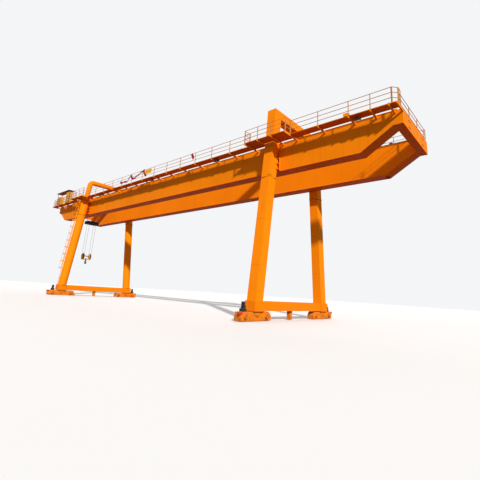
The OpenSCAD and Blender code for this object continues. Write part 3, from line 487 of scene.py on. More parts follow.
add(discs("bearing_shade_rings", cover_places, COVER_R * 1.2, COVER_THICK / 3), bearing_shade)
screws("cover_screws", cover_screws, 0.007, fixing_steel)


# The travel wheels
# Forged steel with two flanges, rolled bright on the tread and brown with rust at the hub.
# Each turns with its axle in the bogie's bearings.

wheel_steel, tree = material("wheel steel")
patch = noise(tree, 14.0, 5.0).step(0.35, 0.65)
base = mix(tree, patch * 0.8, (0.19, 0.12, 0.085, 1.0), (0.10, 0.042, 0.02, 1.0))
finish(tree, Base_Color=base, Roughness=0.55 + patch * 0.3, Metallic=0.7 - patch * 0.5,
       Normal=bumped(tree, noise(tree, 70.0, 3.0), 0.002))
dress(" ".join(wheel_nodes), wheel_steel)


# The travel drives and buffers
# Upright gearmotors in dark enamel on the outer bogie ends, with a grilled fan cowl on top and a
# terminal box. The buffers are moulded red rubber heads.

machine_paint = painted("machine paint", colour=(0.040, 0.040, 0.045, 1.0), deep=(0.022, 0.022, 0.025, 1.0),
                        dust=0.5, underside_shade=0.2, streaks=0.1, rough=0.5)
dress("travel_drives", machine_paint)
BOGIE_Y = (abs(middle("wheel_bf1").y) + abs(middle("wheel_bf2").y)) / 2
DRIVE_Y = max(abs(middle("wheel_bf1").y), abs(middle("wheel_bf2").y))
BOGIE_TOP = 0.285
COWL_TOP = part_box("travel_drives")[1][2]
SPOKE = 0.044
FOOT_SCREWS = [(x, y, 0.09) for x in (-0.062, 0.062) for y in (-0.070, 0.070)]
TERMINAL_SCREWS = [(0.089, y, 0.15 + z) for y in (-0.022, 0.022) for z in (-0.027, 0.027)]
drive_screws, grill = [], []
for x in (box_frame_x, tube_frame_x):
    for side in (-1, 1):
        centre = Vector((x, side * DRIVE_Y, 0))
        seat = centre + Vector((0, 0, BOGIE_TOP))
        drive_screws += [(seat + Vector(spot), (0, 0, 1)) for spot in FOOT_SCREWS]
        drive_screws += [(seat + Vector(spot), (1, 0, 0)) for spot in TERMINAL_SCREWS]
        for radius in (0.018, 0.030, 0.042):
            grill.append(ring(centre + Vector((0, 0, COWL_TOP + 0.001)), radius, 24))
        hub = centre + Vector((0, 0, COWL_TOP + 0.002))
        for spoke in (Vector((SPOKE, 0, 0)), Vector((0, SPOKE, 0))):
            grill.append([hub - spoke, hub + spoke])
screws("drive_screws", drive_screws, 0.010, fixing_steel)
add(tubes("fan_grills", grill, 0.0018, 6), machine_paint)

rubber, tree = material("buffer rubber")
worn = noise(tree, 12.0, 4.0).step(0.4, 0.7)
finish(tree, Base_Color=mix(tree, worn * 0.5, (0.62, 0.035, 0.012, 1.0), (0.30, 0.03, 0.02, 1.0)),
       Roughness=0.6 + worn * 0.2, Normal=bumped(tree, noise(tree, 90.0, 3.0), 0.002),
       Specular_IOR_Level=0.3)
dress("travel_buffers", rubber)


# The ground beams and storm anchors
# Box beams of orange plate along the rails, with a wider box under each leg, ears with pins that
# hold the bogies, and a square post for the storm anchor. Their seams are welded all round.

beam_paint = painted("beam paint", colour=(0.90, 0.225, 0.003, 1.0), chips=0.5)
dress("box_sill tube_sill storm_anchors", beam_paint)
weld_paint = painted("weld paint", colour=(0.74, 0.16, 0.003, 1.0), deep=(0.55, 0.11, 0.004, 1.0),
                     rough=0.6)

PIN_Z = 0.170
PIN_FACE = 0.159
SILL_HALF_X = 0.175
SEAM_LOW = 0.318
WIDE_BOX = 0.9
WIDE_BOX_FROM_END = 0.470
pins, seams = [], []
for node, x in (("box_sill", box_frame_x), ("tube_sill", tube_frame_x)):
    low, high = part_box(node)
    inner = high[1] - WIDE_BOX_FROM_END
    for side in (-1, 1):
        for way in (-1, 1):
            pins.append(((x + way * PIN_FACE, side * BOGIE_Y, PIN_Z), (way, 0, 0)))
            face = x + way * SILL_HALF_X
            for y, top in ((inner, high[2]), (inner - WIDE_BOX, high[2] - 0.006)):
                seams.append([(face, side * y, SEAM_LOW), (face, side * y, top)])
screws("pin_heads", pins, 0.034, painted_screws)
add(tubes("beam_seams", seams, 0.005, 6), weld_paint)


# The box legs and their saddle
# Leaning box columns of orange plate. A zigzag site weld joins each lower leg to its upper leg
# below the girders, ribs stand beside it where the girders sit, and round welds join its plates.

leg_paint = painted("leg paint", colour=(0.96, 0.25, 0.003, 1.0), deep=(0.88, 0.215, 0.003, 1.0),
                    streaks=0.22)
dress("box_legs box_uprights box_saddle tube_legs tube_uprights tube_bends tube_saddle", leg_paint)
rib_paint = painted("rib paint", colour=(0.94, 0.24, 0.003, 1.0), streaks=0.1, underside_shade=0.9)
dress("box_leg_brackets tube_leg_brackets rail_stops", rib_paint)

LEAN = math.tan(math.radians(5.7))
SILL_TOP = 0.610
LEG_HALF_X = 0.180
LEG_HALF_Y = 0.1875
JOINT_Z = 4.845
BOX_FOOT_Y = 2.085


def leg_middle(height):
    return BOX_FOOT_Y - (height - SILL_TOP) * LEAN


def leg_point(side, x, across, height):
    """A point on a box leg's skin: across runs from -1 on its outer side to 1 on its inner side."""
    return Vector((box_frame_x + x * LEG_HALF_X, side * (leg_middle(height) - across * LEG_HALF_Y), height))


site_weld = painted("site weld", colour=(0.30, 0.075, 0.006, 1.0), deep=(0.16, 0.05, 0.012, 1.0),
                    rough=0.75)
LEG_PLATE_ENDS = (1.75, 3.30)
turns = [(-1, -1, 0.0), (-0.62, -1, -0.055), (1, -1, 0.050), (1, 1, -0.045), (-0.2, 1, 0.04),
         (-1, 1, -0.03), (-1, -1, 0.0)]
corners = [(-1, -1), (1, -1), (1, 1), (-1, 1), (-1, -1)]
zigzag, plate_seams = [], []
for side in (-1, 1):
    zigzag.append([leg_point(side, x, across, JOINT_Z + rise) for x, across, rise in turns])
    for height in LEG_PLATE_ENDS:
        plate_seams.append([leg_point(side, x, across, height) for x, across in corners])
add(tubes("site_welds", zigzag, 0.0125, 8), site_weld)
add(tubes("leg_seams", plate_seams, 0.004, 6), weld_paint)


# The tube legs and their saddle
# Leaning steel tubes, thinner above the girders and bent over the trolley's way. Their flanges
# are bolted right round, and the lengths of tube are joined by round welds.

TUBE_FOOT_Y = 2.145
TUBE_R = 0.235
FLANGE_R = 0.2515
FLANGE_JOINT_Z = 5.065
TUBE_TOP = 5.945
PLATE = 0.015
TUBE_PLATE_ENDS = (2.0, 3.5)


def tube_middle(height):
    return TUBE_FOOT_Y - (height - SILL_TOP) * LEAN


ring_screws, ring_seams = [], []
for side in (-1, 1):
    for height, way, count in ((SILL_TOP + PLATE, 1, 20), (FLANGE_JOINT_Z + PLATE, 1, 20),
                               (FLANGE_JOINT_Z - PLATE, -1, 20), (TUBE_TOP, 1, 16)):
        for k in range(count):
            turn = 2 * math.pi * (k + 0.5) / count
            spot = Vector((tube_frame_x + FLANGE_R * math.cos(turn),
                           side * tube_middle(height) + FLANGE_R * math.sin(turn), height))
            ring_screws.append((spot, (0, 0, way)))
    for height in TUBE_PLATE_ENDS:
        ring_seams.append(ring((tube_frame_x, side * tube_middle(height), height), TUBE_R, 48))
screws("flange_screws", ring_screws, 0.015, painted_screws)
add(tubes("tube_seams", ring_seams, 0.004, 6), weld_paint)


# The girders and end ties
# Closed boxes of web and flange plate, welded from long plates, so that each web shows its
# upright joints and a bead along its flanges. The end ties are screwed on, and a rubber stop hangs
# below the rear girder's knee.

girder_paint = painted("girder paint", colour=(0.90, 0.230, 0.003, 1.0), deep=(0.80, 0.190, 0.002, 1.0),
                       streaks=0.25, chips=0.25, underside_shade=0.95)
dress("front_girder rear_girder end_ties", girder_paint)
FLANGE_OUT = 0.020
FLANGE = 0.012
KNEE_X = 10.920
TIP_Z = 5.760
GIRDER_PLATE = 3.1
GIRDER_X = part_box("front_girder")[1][0]
joints, beads = [], []
for node in ("front_girder", "rear_girder"):
    low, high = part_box(node)
    for x in [GIRDER_PLATE * k for k in range(-3, 4)]:
        for y in (low[1] + FLANGE_OUT, high[1] - FLANGE_OUT):
            joints.append([(x, y, low[2] + FLANGE), (x, y, high[2] - FLANGE)])
        joints.append([(x, low[1] + 0.01, low[2]), (x, high[1] - 0.01, low[2])])
    for y in (low[1] + FLANGE_OUT, high[1] - FLANGE_OUT):
        below = low[2] + FLANGE + 0.002
        beads.append([(-GIRDER_X, y, TIP_Z + FLANGE), (-KNEE_X, y, below), (KNEE_X, y, below),
                      (GIRDER_X, y, TIP_Z + FLANGE)])
        beads.append([(-GIRDER_X, y, high[2] - FLANGE - 0.002), (GIRDER_X, y, high[2] - FLANGE - 0.002)])
add(tubes("girder_joints", joints, 0.0035, 6), weld_paint)
add(tubes("girder_beads", beads, 0.006, 6), girder_paint)

TIE_FACE_SCREWS = [(y, z) for y in (0.66, 0.78) for z in (5.86, 6.07)]
TIE_TOP_SCREWS = (0.94, 1.05, 1.16, 1.27)
TIE_MIDDLE = 0.125
tie_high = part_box("end_ties")[1]
tie_screws = []
for end in (-1, 1):
    for side in (-1, 1):
        tie_screws += [((end * tie_high[0], side * y, z), (end, 0, 0)) for y, z in TIE_FACE_SCREWS]
        tie_screws += [((end * (tie_high[0] - TIE_MIDDLE), side * y, tie_high[2]), (0, 0, 1))
                       for y in TIE_TOP_SCREWS]
dark_screws = metal("weathered screws", (0.055, 0.028, 0.018, 1.0), rough=0.7, metallic=0.5, dirt=0.8)
screws("tie_screws", tie_screws, 0.022, dark_screws)

knee_grip = blocks("knee_stop", [((10.865, 1.115, 5.083), (10.940, 1.195, 5.1355)),
                                 ((10.835, 1.130, 5.095), (10.980, 1.180, 5.123))], bevel=0.006)
add(knee_grip, machine_paint)


# The crane rails
# Rolled rail along each girder, held by screwed clips on both sides, rusty brown but bright on
# top, where the trolley's wheels run.

rail_steel, tree = material("rail steel")
patch = noise(tree, 12.0, 5.0, stretch=(0.4, 2, 2)).step(0.35, 0.68)
run = facing_up(tree).step(0.8, 0.98)
base = mix(tree, patch * 0.6, (0.17, 0.075, 0.035, 1.0), (0.09, 0.045, 0.028, 1.0))
base = mix(tree, run * 0.7, base, (0.34, 0.31, 0.29, 1.0))
finish(tree, Base_Color=base, Roughness=0.75 - run * 0.35, Metallic=run * 0.7,
       Normal=bumped(tree, noise(tree, 60.0, 3.0), 0.002))
dress("trolley_rails", rail_steel)

row_tree, given = maker("rows of clips", {"Count": "Int", "Step": "Vector", "Size": "Vector",
                                          "Paint": "Material"})
line = row_tree.node("GeometryNodeMeshLine", {"mode": "OFFSET"}, {
    "Count": given["Count"], "Offset": given["Step"]})
piece = row_tree.node("GeometryNodeMeshCube", {}, {"Size": given["Size"]})
row = row_tree.node("GeometryNodeInstanceOnPoints", {}, {"Points": line, "Instance": piece})
on_points(row_tree, given, row)


def rows(name, places, count, step, size, made, body="gantry"):
    """A row of square pieces from each place, a step apart, in the frame of the way it faces."""
    return grow(name, places, row_tree, {"Count": count, "Step": step, "Size": size, "Paint": made}, body)


GIRDER_TOP = 6.210
RAIL_Y = 0.960
CLIP_OFF = 0.036
CLIP_PITCH = 0.46
clip_x = [-11.68 + CLIP_PITCH * k for k in range(51)]
clip_starts = [((clip_x[0], side * RAIL_Y + edge * CLIP_OFF, GIRDER_TOP + 0.012), (0, 0, 1))
               for side in (-1, 1) for edge in (-1, 1)]
clip_steel = painted("clip paint", colour=(0.55, 0.16, 0.02, 1.0), deep=RUST, chips=0.8)
rows("rail_clips", clip_starts, len(clip_x), (CLIP_PITCH, 0, 0), (0.070, 0.034, 0.024), clip_steel)
screws("clip_screws", [((x, side * RAIL_Y + edge * CLIP_OFF, GIRDER_TOP + 0.023), (0, 0, 1))
                       for x in clip_x for side in (-1, 1) for edge in (-1, 1)], 0.012, fixing_steel)


# The walkway
# Raised-pattern floor plate in an edge channel along the front girder, on flat brackets that are
# screwed to the channel. It steps out round both legs, and a small deck box with two conduits
# stands on it near the box legs.

tread, tree = material("walkway plate")
STUDS = 160
spot_x = tree.node("ShaderNodeSeparateXYZ", {}, {0: place(tree)})
spot_y = tree.node("ShaderNodeSeparateXYZ", {}, {0: place(tree)}, out=1)
rising = abs(spot_x.math("SINE", (spot_x + spot_y) * STUDS))
falling = abs(spot_x.math("SINE", (spot_x - spot_y) * STUDS))
studs = (rising * falling).step(0.62, 0.85) * facing_up(tree).step(0.5, 0.9)
worn = noise(tree, 3.0, 5.0).step(0.40, 0.66)
height = facing_up(tree)
base = mix(tree, worn * 0.5, (0.66, 0.155, 0.004, 1.0), (0.42, 0.095, 0.008, 1.0))
base = mix(tree, height.step(0.4, 0.9) * worn * 0.6, base, DUST)
# Downward faces of the plate are darkened and reddened: painted shade.
base = mix(tree, (0 - height).step(0.45, 0.95) * 0.85, base, (0.62, 0.085, 0.003, 1.0))
finish(tree, Base_Color=base, Roughness=0.6 + worn * 0.2 - studs * 0.15,
       Normal=bumped(tree, studs, 0.003, 0.6), Specular_IOR_Level=0.02)
dress("walkway", tread)
bracket_paint = painted("bracket paint", colour=(0.98, 0.30, 0.008, 1.0), deep=(0.92, 0.25, 0.004, 1.0),
                        underside_shade=0.6)
dress("walkway_brackets", bracket_paint)

DECK_TOP = 6.175
DECK_OUT = 1.870
DECK_IN = 1.545
DECK_END = 12.180
STEP_OUT = 0.305
END_BRACKET = 0.024
steps = [-DECK_END, tube_frame_x - 1.01, tube_frame_x + 0.79, box_frame_x - 0.81, box_frame_x + 0.99,
         DECK_END]
BRACKET_PITCH = 1.0
bracket_x = []
for start, stop in ((steps[0] + END_BRACKET, steps[1]), (steps[2], steps[3])):
    fields = round((stop - start) / BRACKET_PITCH)
    even = [start + (stop - start) * k / fields for k in range(fields + 1)]
    bracket_x += [(x, DECK_OUT) for x in even if steps[2] + 0.2 < x < steps[3] - 0.2 or x < steps[1] - 0.2]
for i in (1, 3):
    first, last = steps[i] + END_BRACKET, steps[i + 1] - END_BRACKET
    bracket_x += [(first + (last - first) * k / 3, DECK_OUT + STEP_OUT) for k in range(4)]
bracket_x += [(steps[4] + x, DECK_OUT) for x in (1.030, 2.045, 2.700, 3.210)]
bracket_x += [(DECK_END - END_BRACKET, DECK_OUT)]
plate_screws = [((x, -out - 0.006, DECK_TOP - 0.055), (0, -1, 0)) for x, out in bracket_x]
screws("bracket_screws", plate_screws, 0.016, painted_screws)

BOX_X = box_frame_x + 2.965
junction = [((BOX_X - 0.080, -1.885, 6.172), (BOX_X + 0.080, -1.790, 6.262)),
            ((BOX_X - 0.086, -1.891, 6.250), (BOX_X + 0.086, -1.784, 6.270))]
add(blocks("deck_box", junction, bevel=0.004), bracket_paint)
conduits = [[(BOX_X + 0.080, -1.84, 6.20), (BOX_X + 0.125, -1.84, 6.195), (BOX_X + 0.155, -1.835, 6.178)],
            [(BOX_X - 0.080, -1.82, 6.20), (BOX_X - 0.125, -1.82, 6.19), (BOX_X - 0.165, -1.815, 6.178)]]
add(tubes("conduits", conduits, 0.008, 8), machine_paint)


# The railings
# Welded bars on posts along both girders and across both ends, in thin orange paint that the sun
# has faded and the rain has browned, with collars where the posts stand on the walkway, and red
# ribbons tied to its bars.

railing_paint = painted("railing paint", colour=(0.56, 0.25, 0.075, 1.0), deep=(0.36, 0.17, 0.07, 1.0),
                        rough=0.6, dust=0.3, underside_shade=0.4, chips=0.8)
dress("front_railing rear_railing end_railings", railing_paint)

POST_Y = DECK_OUT - 0.010
collar_x = [(x, out - 0.010) for x, out in bracket_x]
add(blocks("post_feet", [((x - 0.022, -y - 0.022, DECK_TOP), (x + 0.022, -y + 0.022, DECK_TOP + 0.008))
                         for x, y in collar_x if x < DECK_END - 0.1], bevel=0.002), railing_paint)
end_posts = []
for end in (-1, 1):
    for y in (-1.30, -0.45, 0.40, 1.25):
        x = end * 12.095
        end_posts.append(((x - 0.006, y - 0.020, 6.210), (x + 0.006, y + 0.020, 6.690)))
add(blocks("end_post_flats", end_posts, bevel=0.002), railing_paint)

ribbon_cloth, tree = material("red ribbon")
weave = noise(tree, 220.0, 1.0)
fade = noise(tree, 5.0, 3.0).step(0.35, 0.7)
finish(tree, Base_Color=mix(tree, fade * 0.6, (0.30, 0.006, 0.010, 1.0), (0.16, 0.004, 0.012, 1.0)),
       Roughness=0.85, Normal=bumped(tree, weave, 0.001, 0.5), Specular_IOR_Level=0.2)
RIBBON_W = 0.11
RIBBON_Y = -(POST_Y + 0.012)


def ribbon(name, knots):
    """A strip of cloth in arcs between its knots on the railing, each an x and a height."""
    knots = [(x, RIBBON_Y, height) for x, height in knots]
    path = []
    for i in range(len(knots) - 1):
        a, b = Vector(knots[i]), Vector(knots[i + 1])
        for k in range(12):
            t = k / 12
            sag = -0.035 * math.sin(math.pi * t)
            path.append(a.lerp(b, t) + Vector((0, -0.006 - 0.014 * math.sin(math.pi * t), sag)))
    path.append(Vector(knots[-1]))
    verts, faces = [], []
    for i, here in enumerate(path):
        along = (path[min(i + 1, len(path) - 1)] - path[max(i - 1, 0)]).normalized()
        lean = 0.3 * math.sin(i * 0.37)
        across = along.cross(Vector((0, -1, 0))).normalized()
        across = across * math.cos(lean) + Vector((0, -1, 0)) * abs(math.sin(lean))
        verts += [here - across * RIBBON_W / 2, here + Vector((0, -0.006, 0)), here + across * RIBBON_W / 2]
    for i in range(len(path) - 1):
        row = i * 3
        faces += [(row, row + 1, row + 4, row + 3), (row + 1, row + 2, row + 5, row + 4)]
    strip = mesh_object(name, verts, faces)
    wall = strip.modifiers.new("cloth", "SOLIDIFY")
    wall.thickness = 0.0012
    add(strip, ribbon_cloth)


ribbon("long_ribbon", [(-2.45, 6.43), (-2.30, 6.33), (-2.02, 6.36), (-1.72, 6.31), (-1.42, 6.62),
                       (-1.16, 6.37), (-0.80, 6.44), (-0.40, 6.60), (-0.16, 6.66), (-0.06, 6.44),
                       (0.11, 6.31)])
ribbon("short_ribbon", [(3.62, 6.66), (3.68, 6.54), (3.76, 6.40)])


# The ladder and its cage
# Flat stringers with round rungs, leaning with the front tube leg, inside bent hoops and straps,
# all bright orange and riveted where the straps cross the hoops.

ladder_paint = painted("ladder paint", colour=(1.0, 0.33, 0.012, 1.0), deep=(0.90, 0.25, 0.006, 1.0),
                       underside_shade=0.6)
dress("ladder ladder_cage", ladder_paint)

CAGE_R = 0.215
LADDER_HALF = 0.115
CAGE_X = tube_frame_x - TUBE_R - 0.293 - math.sqrt(CAGE_R ** 2 - LADDER_HALF ** 2)
HOOP_PITCH = 0.450 * math.cos(math.atan(LEAN))
hoops = [1.627 + HOOP_PITCH * k for k in range(11)]
rivets = [((CAGE_X - CAGE_R, -tube_middle(height), height), (-1, 0, 0)) for height in hoops]
rivets += [((CAGE_X, -tube_middle(height) + way * CAGE_R, height), (0, way, 0))
           for height in hoops for way in (-1, 1)]
screws("cage_rivets", rivets, 0.010, ladder_paint)


# The switch cabinets and their roof
# Two pressed-steel cabinets in faded ochre on the walkway's far end, each with two doors, handles,
# hinges and louvres, under a roof of ribbed sheet on four thin posts.

cabinet_paint = painted("cabinet paint", colour=(0.66, 0.36, 0.075, 1.0), deep=(0.50, 0.26, 0.06, 1.0),
                        rough=0.5, underside_shade=0.3, streaks=0.4)
dress("switch_cabinets", cabinet_paint)
CABINET_X = -10.610
CABINET_STEP = 0.710
CABINET_Y = -1.8355
handles, hinges, louvres, lamps = [], [], [], []
for side, top in ((-1, 0.620), (1, 0.800)):
    x = CABINET_X + side * CABINET_STEP
    centre = DECK_TOP + 0.06 + (top - 0.06) / 2
    for leaf in (-1, 1):
        handles.append(((x + leaf * 0.026 - 0.007, CABINET_Y - 0.022, centre - 0.055),
                        (x + leaf * 0.026 + 0.007, CABINET_Y - 0.010, centre + 0.055)))
        handles.append(((x + leaf * 0.026 - 0.010, CABINET_Y - 0.012, centre - 0.020),
                        (x + leaf * 0.026 + 0.010, CABINET_Y, centre + 0.020)))
        for rise in (0.10, top - 0.10):
            hinges.append(((x + leaf * 0.226 - 0.006, CABINET_Y - 0.008, DECK_TOP + rise - 0.03),
                           (x + leaf * 0.226 + 0.006, CABINET_Y + 0.002, DECK_TOP + rise + 0.03)))
        louvres.append(((x + leaf * 0.125, CABINET_Y - 0.002, DECK_TOP + 0.11), (0, 0, 1)))
    lamps += [((x - 0.19 + 0.04 * k, CABINET_Y, DECK_TOP + top - 0.075), (0, -1, 0)) for k in range(3)]
add(blocks("cabinet_handles", handles, bevel=0.002), machine_paint)
add(blocks("cabinet_hinges", hinges, bevel=0.002), cabinet_paint)
rows("cabinet_louvres", louvres, 6, (0, 0, 0.016), (0.12, 0.010, 0.006), cabinet_paint)
lamp_lens, tree = material("signal lamps")
lenses = mix(tree, noise(tree, 30.0).step(0.4, 0.6), (0.45, 0.02, 0.01, 1.0), (0.02, 0.20, 0.04, 1.0))
finish(tree, Base_Color=lenses, Roughness=0.2)
add(discs("signal_lamps", lamps, 0.010, 0.008, bevel=0.003, sides=16), lamp_lens)

roof_paint = painted("roof paint", colour=(0.17, 0.075, 0.050, 1.0), deep=(0.10, 0.045, 0.035, 1.0),
                     rough=0.6, underside_shade=0.4, dust=0.6)
dress("cabinet_roof", roof_paint)
sheet_tree, given = maker("ribbed sheet", {"Length": "Float", "Width": "Float", "Pitch": "Float",
                                           "Rise": "Float", "Paint": "Material"})
grid = sheet_tree.node("GeometryNodeMeshGrid", {}, {
    "Size X": given["Length"], "Size Y": given["Width"], "Vertices X": 217, "Vertices Y": 3})
along = sheet_tree.node("ShaderNodeSeparateXYZ", {}, {0: sheet_tree.node("GeometryNodeInputPosition")})
ripple = along.math("DIVIDE", along * (2 * math.pi), given["Pitch"])
wave = ripple.math("SINE", ripple) * given["Rise"]
lift = sheet_tree.node("ShaderNodeCombineXYZ", {}, {2: wave})
sheet = sheet_tree.node("GeometryNodeSetPosition", {}, {"Geometry": grid, "Offset": lift})
on_points(sheet_tree, given, sheet)
roof_low, roof_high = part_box("cabinet_roof")
ribbed = grow("roof_sheet", [(((roof_low[0] + roof_high[0]) / 2, (roof_low[1] + roof_high[1]) / 2,
                               roof_high[2] + 0.010), (0, 0, 1))], sheet_tree,
              {"Length": roof_high[0] - roof_low[0], "Width": roof_high[1] - roof_low[1], "Pitch": 0.090,
               "Rise": 0.008, "Paint": roof_paint})
wall = ribbed.modifiers.new("thickness", "SOLIDIFY")
wall.thickness = 0.003
roof_middle = (roof_low[1] + roof_high[1]) / 2
crests = [roof_low[0] + 0.0225 + 0.180 * k for k in range(12)]
screws("roof_screws", [((x, roof_middle + y, roof_high[2] + 0.018), (0, 0, 1))
                       for x in crests for y in (-0.17, 0.17)], 0.009, fixing_steel)


# The floodlights and the yard lamp
# Cast housings with cooling fins, hung from the walkway, each with a glass front in a screwed rim,
# and one small lamp on a bent arm at the rear girder's end.

lamp_body = painted("lamp housing", colour=(0.050, 0.052, 0.058, 1.0), deep=(0.03, 0.03, 0.035, 1.0),
                    underside_shade=0.2, streaks=0.1, dust=0.5)
dress("floodlights", lamp_body)
glass, tree = material("lamp glass")
cells = tree.node("ShaderNodeTexVoronoi", {}, {"Vector": place(tree), "Scale": 60.0})
finish(tree, Base_Color=mix(tree, cells.step(0.1, 0.6), (0.80, 0.82, 0.84, 1.0), (0.50, 0.53, 0.56, 1.0)),
       Roughness=0.12, Normal=bumped(tree, cells, 0.001))
LAMP_X = [box_frame_x + x for x in (-12.535, -7.370, -2.700, 3.240)]
LAMP_HANG = 0.105
tilt = Matrix.Rotation(math.radians(25), 4, "X")
panes = bmesh.new()
pane_screws = []
for x in LAMP_X:
    stand = Matrix.Translation((x, -(DECK_IN + DECK_OUT) / 2, DECK_TOP - 0.010 - LAMP_HANG)) @ tilt
    size = Matrix.Diagonal((0.168, 0.108, 0.004, 1))
    bmesh.ops.create_cube(panes, size=1.0, matrix=stand @ Matrix.Translation((0, 0, -0.033)) @ size)
    for dx in (-0.094, 0.094):
        for dy in (-0.062, 0.062):
            way = stand.to_3x3() @ Vector((0, 0, -1))
            pane_screws.append((stand @ Vector((dx, dy, -0.032)), way))
pane = mesh_object("lamp_panes", [], [])
panes.to_mesh(pane.data)
panes.free()
add(pane, glass)
screws("lamp_screws", pane_screws, 0.007, fixing_steel)

ARM_X = box_frame_x + 3.300
bends = ((1.330, 6.222), (1.330, 6.36), (1.310, 6.40), (1.270, 6.415), (1.190, 6.405))
add(tubes("yard_lamp_arm", [[(ARM_X, y, z) for y, z in bends]], 0.012, 10), bracket_paint)


def on_arm(half, low, high):
    """A block's two corners, as wide on both sides of the arm, from low to high in y and z."""
    return (ARM_X - half, *low), (ARM_X + half, *high)


foot = [on_arm(0.040, (1.295, 6.2095), (1.362, 6.222))]
add(blocks("yard_lamp_foot", foot, bevel=0.003), bracket_paint)
housing = [on_arm(0.055, (1.120, 6.345), (1.210, 6.410)), on_arm(0.062, (1.112, 6.337), (1.218, 6.348))]
add(blocks("yard_lamp", housing, bevel=0.005), lamp_body)
front = [on_arm(0.050, (1.125, 6.334), (1.205, 6.3375))]
add(blocks("yard_lamp_glass", front, bevel=0.001), glass)


# The sign plate
# A bare yellow plate in a rolled rim, screwed to the railing's bars through four clamps.

sign_paint = painted("sign paint", colour=(0.82, 0.43, 0.012, 1.0), deep=(0.68, 0.33, 0.015, 1.0),
                     underside_shade=0.2, chips=0.9)
dress("sign_plate", sign_paint)
sign_low, sign_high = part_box("sign_plate")
front = sign_low[1] - 0.003
left, right_edge, bottom, top = sign_low[0], sign_high[0], sign_low[2], sign_high[2]
edge = [(x, front, z) for x, z in ((left, bottom), (right_edge, bottom), (right_edge, top), (left, top),
                                   (left, bottom))]
add(tubes("sign_rim", [edge], 0.006, 8), sign_paint)
SCREW_IN = 0.03
screws("sign_screws", [((x, sign_low[1], z), (0, -1, 0)) for x in (left + SCREW_IN, right_edge - SCREW_IN)
                       for z in (bottom + SCREW_IN, top - SCREW_IN)], 0.011, fixing_steel)


# The trolley
# An orange frame on four flanged wheels, with a grooved rope drum between two bearing stands, a
# split gear case, a finned hoist motor, the trolley's own drive and a weight round the ropes.

dress("trolley_frame", beam_paint)
dress("trolley_wheels", wheel_steel)
dress("hoist_gearbox hoist_motor trolley_drive", machine_paint)
weight_paint = painted("weight paint", colour=(0.035, 0.033, 0.033, 1.0), deep=(0.06, 0.03, 0.02, 1.0),
                       underside_shade=0.1, dust=0.4, chips=0.9)
dress("limit_weight", weight_paint)
oiled_steel = metal("oiled steel", (0.24, 0.21, 0.185, 1.0), rough=0.38, dirt=0.7)
dress("hoist_drum", oiled_steel)

wire_rope, tree = material("wire rope")
strands = tree.node("ShaderNodeTexWave", {"wave_type": "BANDS", "bands_direction": "DIAGONAL"},
                    {"Vector": place(tree), "Scale": 34.0, "Distortion": 1.2}, out=1)
grease = noise(tree, 6.0, 4.0).step(0.40, 0.68)
finish(tree, Base_Color=mix(tree, grease * 0.6, (0.085, 0.078, 0.070, 1.0), (0.030, 0.024, 0.020, 1.0)),
       Roughness=0.5 + grease * 0.25, Metallic=0.55 - grease * 0.3,
       Normal=bumped(tree, strands, 0.002, 0.7))
ROPE_R = 0.0065
for name, node in (("drum_falls", "drum_ropes"), ("anchor_falls", "anchor_ropes")):
    low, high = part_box(node)
    x = (low[0] + high[0]) / 2
    y = high[1] - ROPE_R
    falls = tubes(name, [[(x, side * y, high[2]), (x, side * y, low[2])] for side in (-1, 1)], ROPE_R, 12)
    falls.data.materials.append(wire_rope)
    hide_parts(node)
    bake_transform(falls)

DRUM_AXIS_Z = 6.735
TROLLEY_DECK = 6.485
turn_tree, given = maker("rope turns", {"Turns": "Float", "Length": "Float", "Radius": "Float",
                                        "Rope": "Float", "Paint": "Material"})
coil = turn_tree.node("GeometryNodeCurveSpiral", {}, {
    "Resolution": 28, "Rotations": given["Turns"], "Start Radius": given["Radius"],
    "End Radius": given["Radius"], "Height": given["Length"]})
section = turn_tree.node("GeometryNodeCurvePrimitiveCircle", {}, {"Resolution": 7, "Radius": given["Rope"]})
wound = turn_tree.node("GeometryNodeCurveToMesh", {}, {
    "Curve": coil, "Profile Curve": section, "Fill Caps": True})
on_points(turn_tree, given, wound)
drum_x = middle("hoist_drum").x
DRUM_GRIP = 0.1745
coils = {"Turns": 15.0, "Length": 0.225, "Radius": DRUM_GRIP + 0.0055, "Rope": 0.0062, "Paint": wire_rope}
grow("drum_turns", [((drum_x, way * 0.235, DRUM_AXIS_Z), (0, way, 0)) for way in (-1, 1)], turn_tree,
     coils, "trolley")

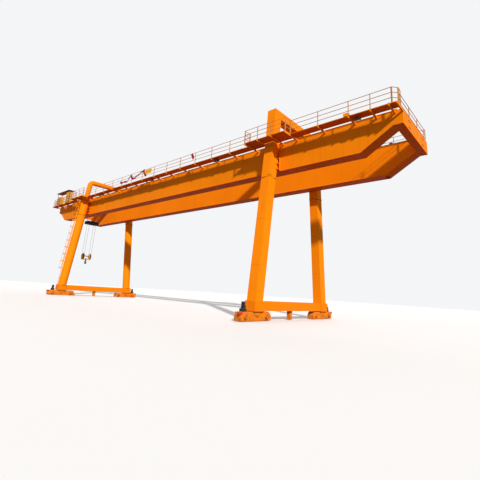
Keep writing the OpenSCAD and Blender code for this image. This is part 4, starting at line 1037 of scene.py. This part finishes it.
stand_screws = [((drum_x + dx, side * (0.560 + dy), TROLLEY_DECK + 0.016), (0, 0, 1))
                for side in (-1, 1) for dx in (-0.105, 0.105) for dy in (-0.010, 0.010)]
screws("stand_screws", stand_screws, 0.016, painted_screws, "trolley")
cap_places = ring((drum_x, -0.584, DRUM_AXIS_Z), 0.050, 6, second=(0, 0, 1))[:-1]
screws("drum_cap_screws", [(spot, (0, -1, 0)) for spot in cap_places], 0.011, fixing_steel, "trolley")
case_low, case_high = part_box("hoist_gearbox")
split_screws = [((x, case_low[1] + y, TROLLEY_DECK + 0.217), (0, 0, 1)) for x in
                (case_low[0] + 0.016, case_high[0] - 0.016) for y in (0.03, 0.075, 0.12)]
foot_screws = [((x, case_low[1] + y, TROLLEY_DECK + 0.020), (0, 0, 1)) for x in
               (case_low[0] + 0.018, case_high[0] - 0.018) for y in (0.03, 0.12)]
screws("gear_case_screws", split_screws + foot_screws, 0.014, fixing_steel, "trolley")
eye_spot = (case_low[0] + 0.15, (case_low[1] + case_high[1]) / 2, TROLLEY_DECK + 0.405)
add(tubes("lifting_eyes", [ring(eye_spot, 0.02, 24, second=(0, 0, 1))], 0.005), machine_paint, "trolley")


# The hook block and hook
# Yellow cheek plates with rounded ends over four grooved sheaves, joined by distance bolts, with a
# forged hook on a swivel below and a sprung latch across its mouth.

block_paint = painted("block paint", colour=(0.80, 0.38, 0.012, 1.0), deep=(0.58, 0.24, 0.01, 1.0),
                      chips=1.0, streaks=0.5)
dress("hook_block", block_paint)
dress("block_sheaves", oiled_steel)
hook_steel = metal("hook steel", (0.085, 0.070, 0.062, 1.0), rough=0.5, metallic=0.6, dirt=0.6)
dress("hook", hook_steel)

BLOCK_Z = 2.650
CHEEK_FACE = 0.298
spots = ((-0.115, 0.045), (0.115, 0.045), (0.0, 0.122), (-0.085, -0.165), (0.085, -0.165))
cheek_bolts = [((drum_x + dx, side * CHEEK_FACE, BLOCK_Z + dz), (0, side, 0))
               for side in (-1, 1) for dx, dz in spots]
screws("cheek_screws", cheek_bolts, 0.018, fixing_steel, "hook_block")
screws("hook_nut", [((drum_x, 0, BLOCK_Z - 0.2105), (0, 0, 1))], 0.075, hook_steel, "hook_block")
tongue = [(0.040, -0.285), (0.042, -0.312), (0.058, -0.340), (0.078, -0.366)]
verts = [(drum_x + x, y, BLOCK_Z + z) for x, z in tongue for y in (-0.017, 0.017)]
faces = [(2 * i, 2 * i + 2, 2 * i + 3, 2 * i + 1) for i in range(len(tongue) - 1)]
latch = mesh_object("hook_latch", verts, faces)
wall = latch.modifiers.new("thickness", "SOLIDIFY")
wall.thickness = 0.003
wall.offset = 0
add(latch, hook_steel, "hook_block")
pin = [(drum_x + 0.043, y, BLOCK_Z - 0.298) for y in (-0.026, 0.026)]
add(tubes("latch_pin", [pin], 0.0055, 10), fixing_steel, "hook_block")
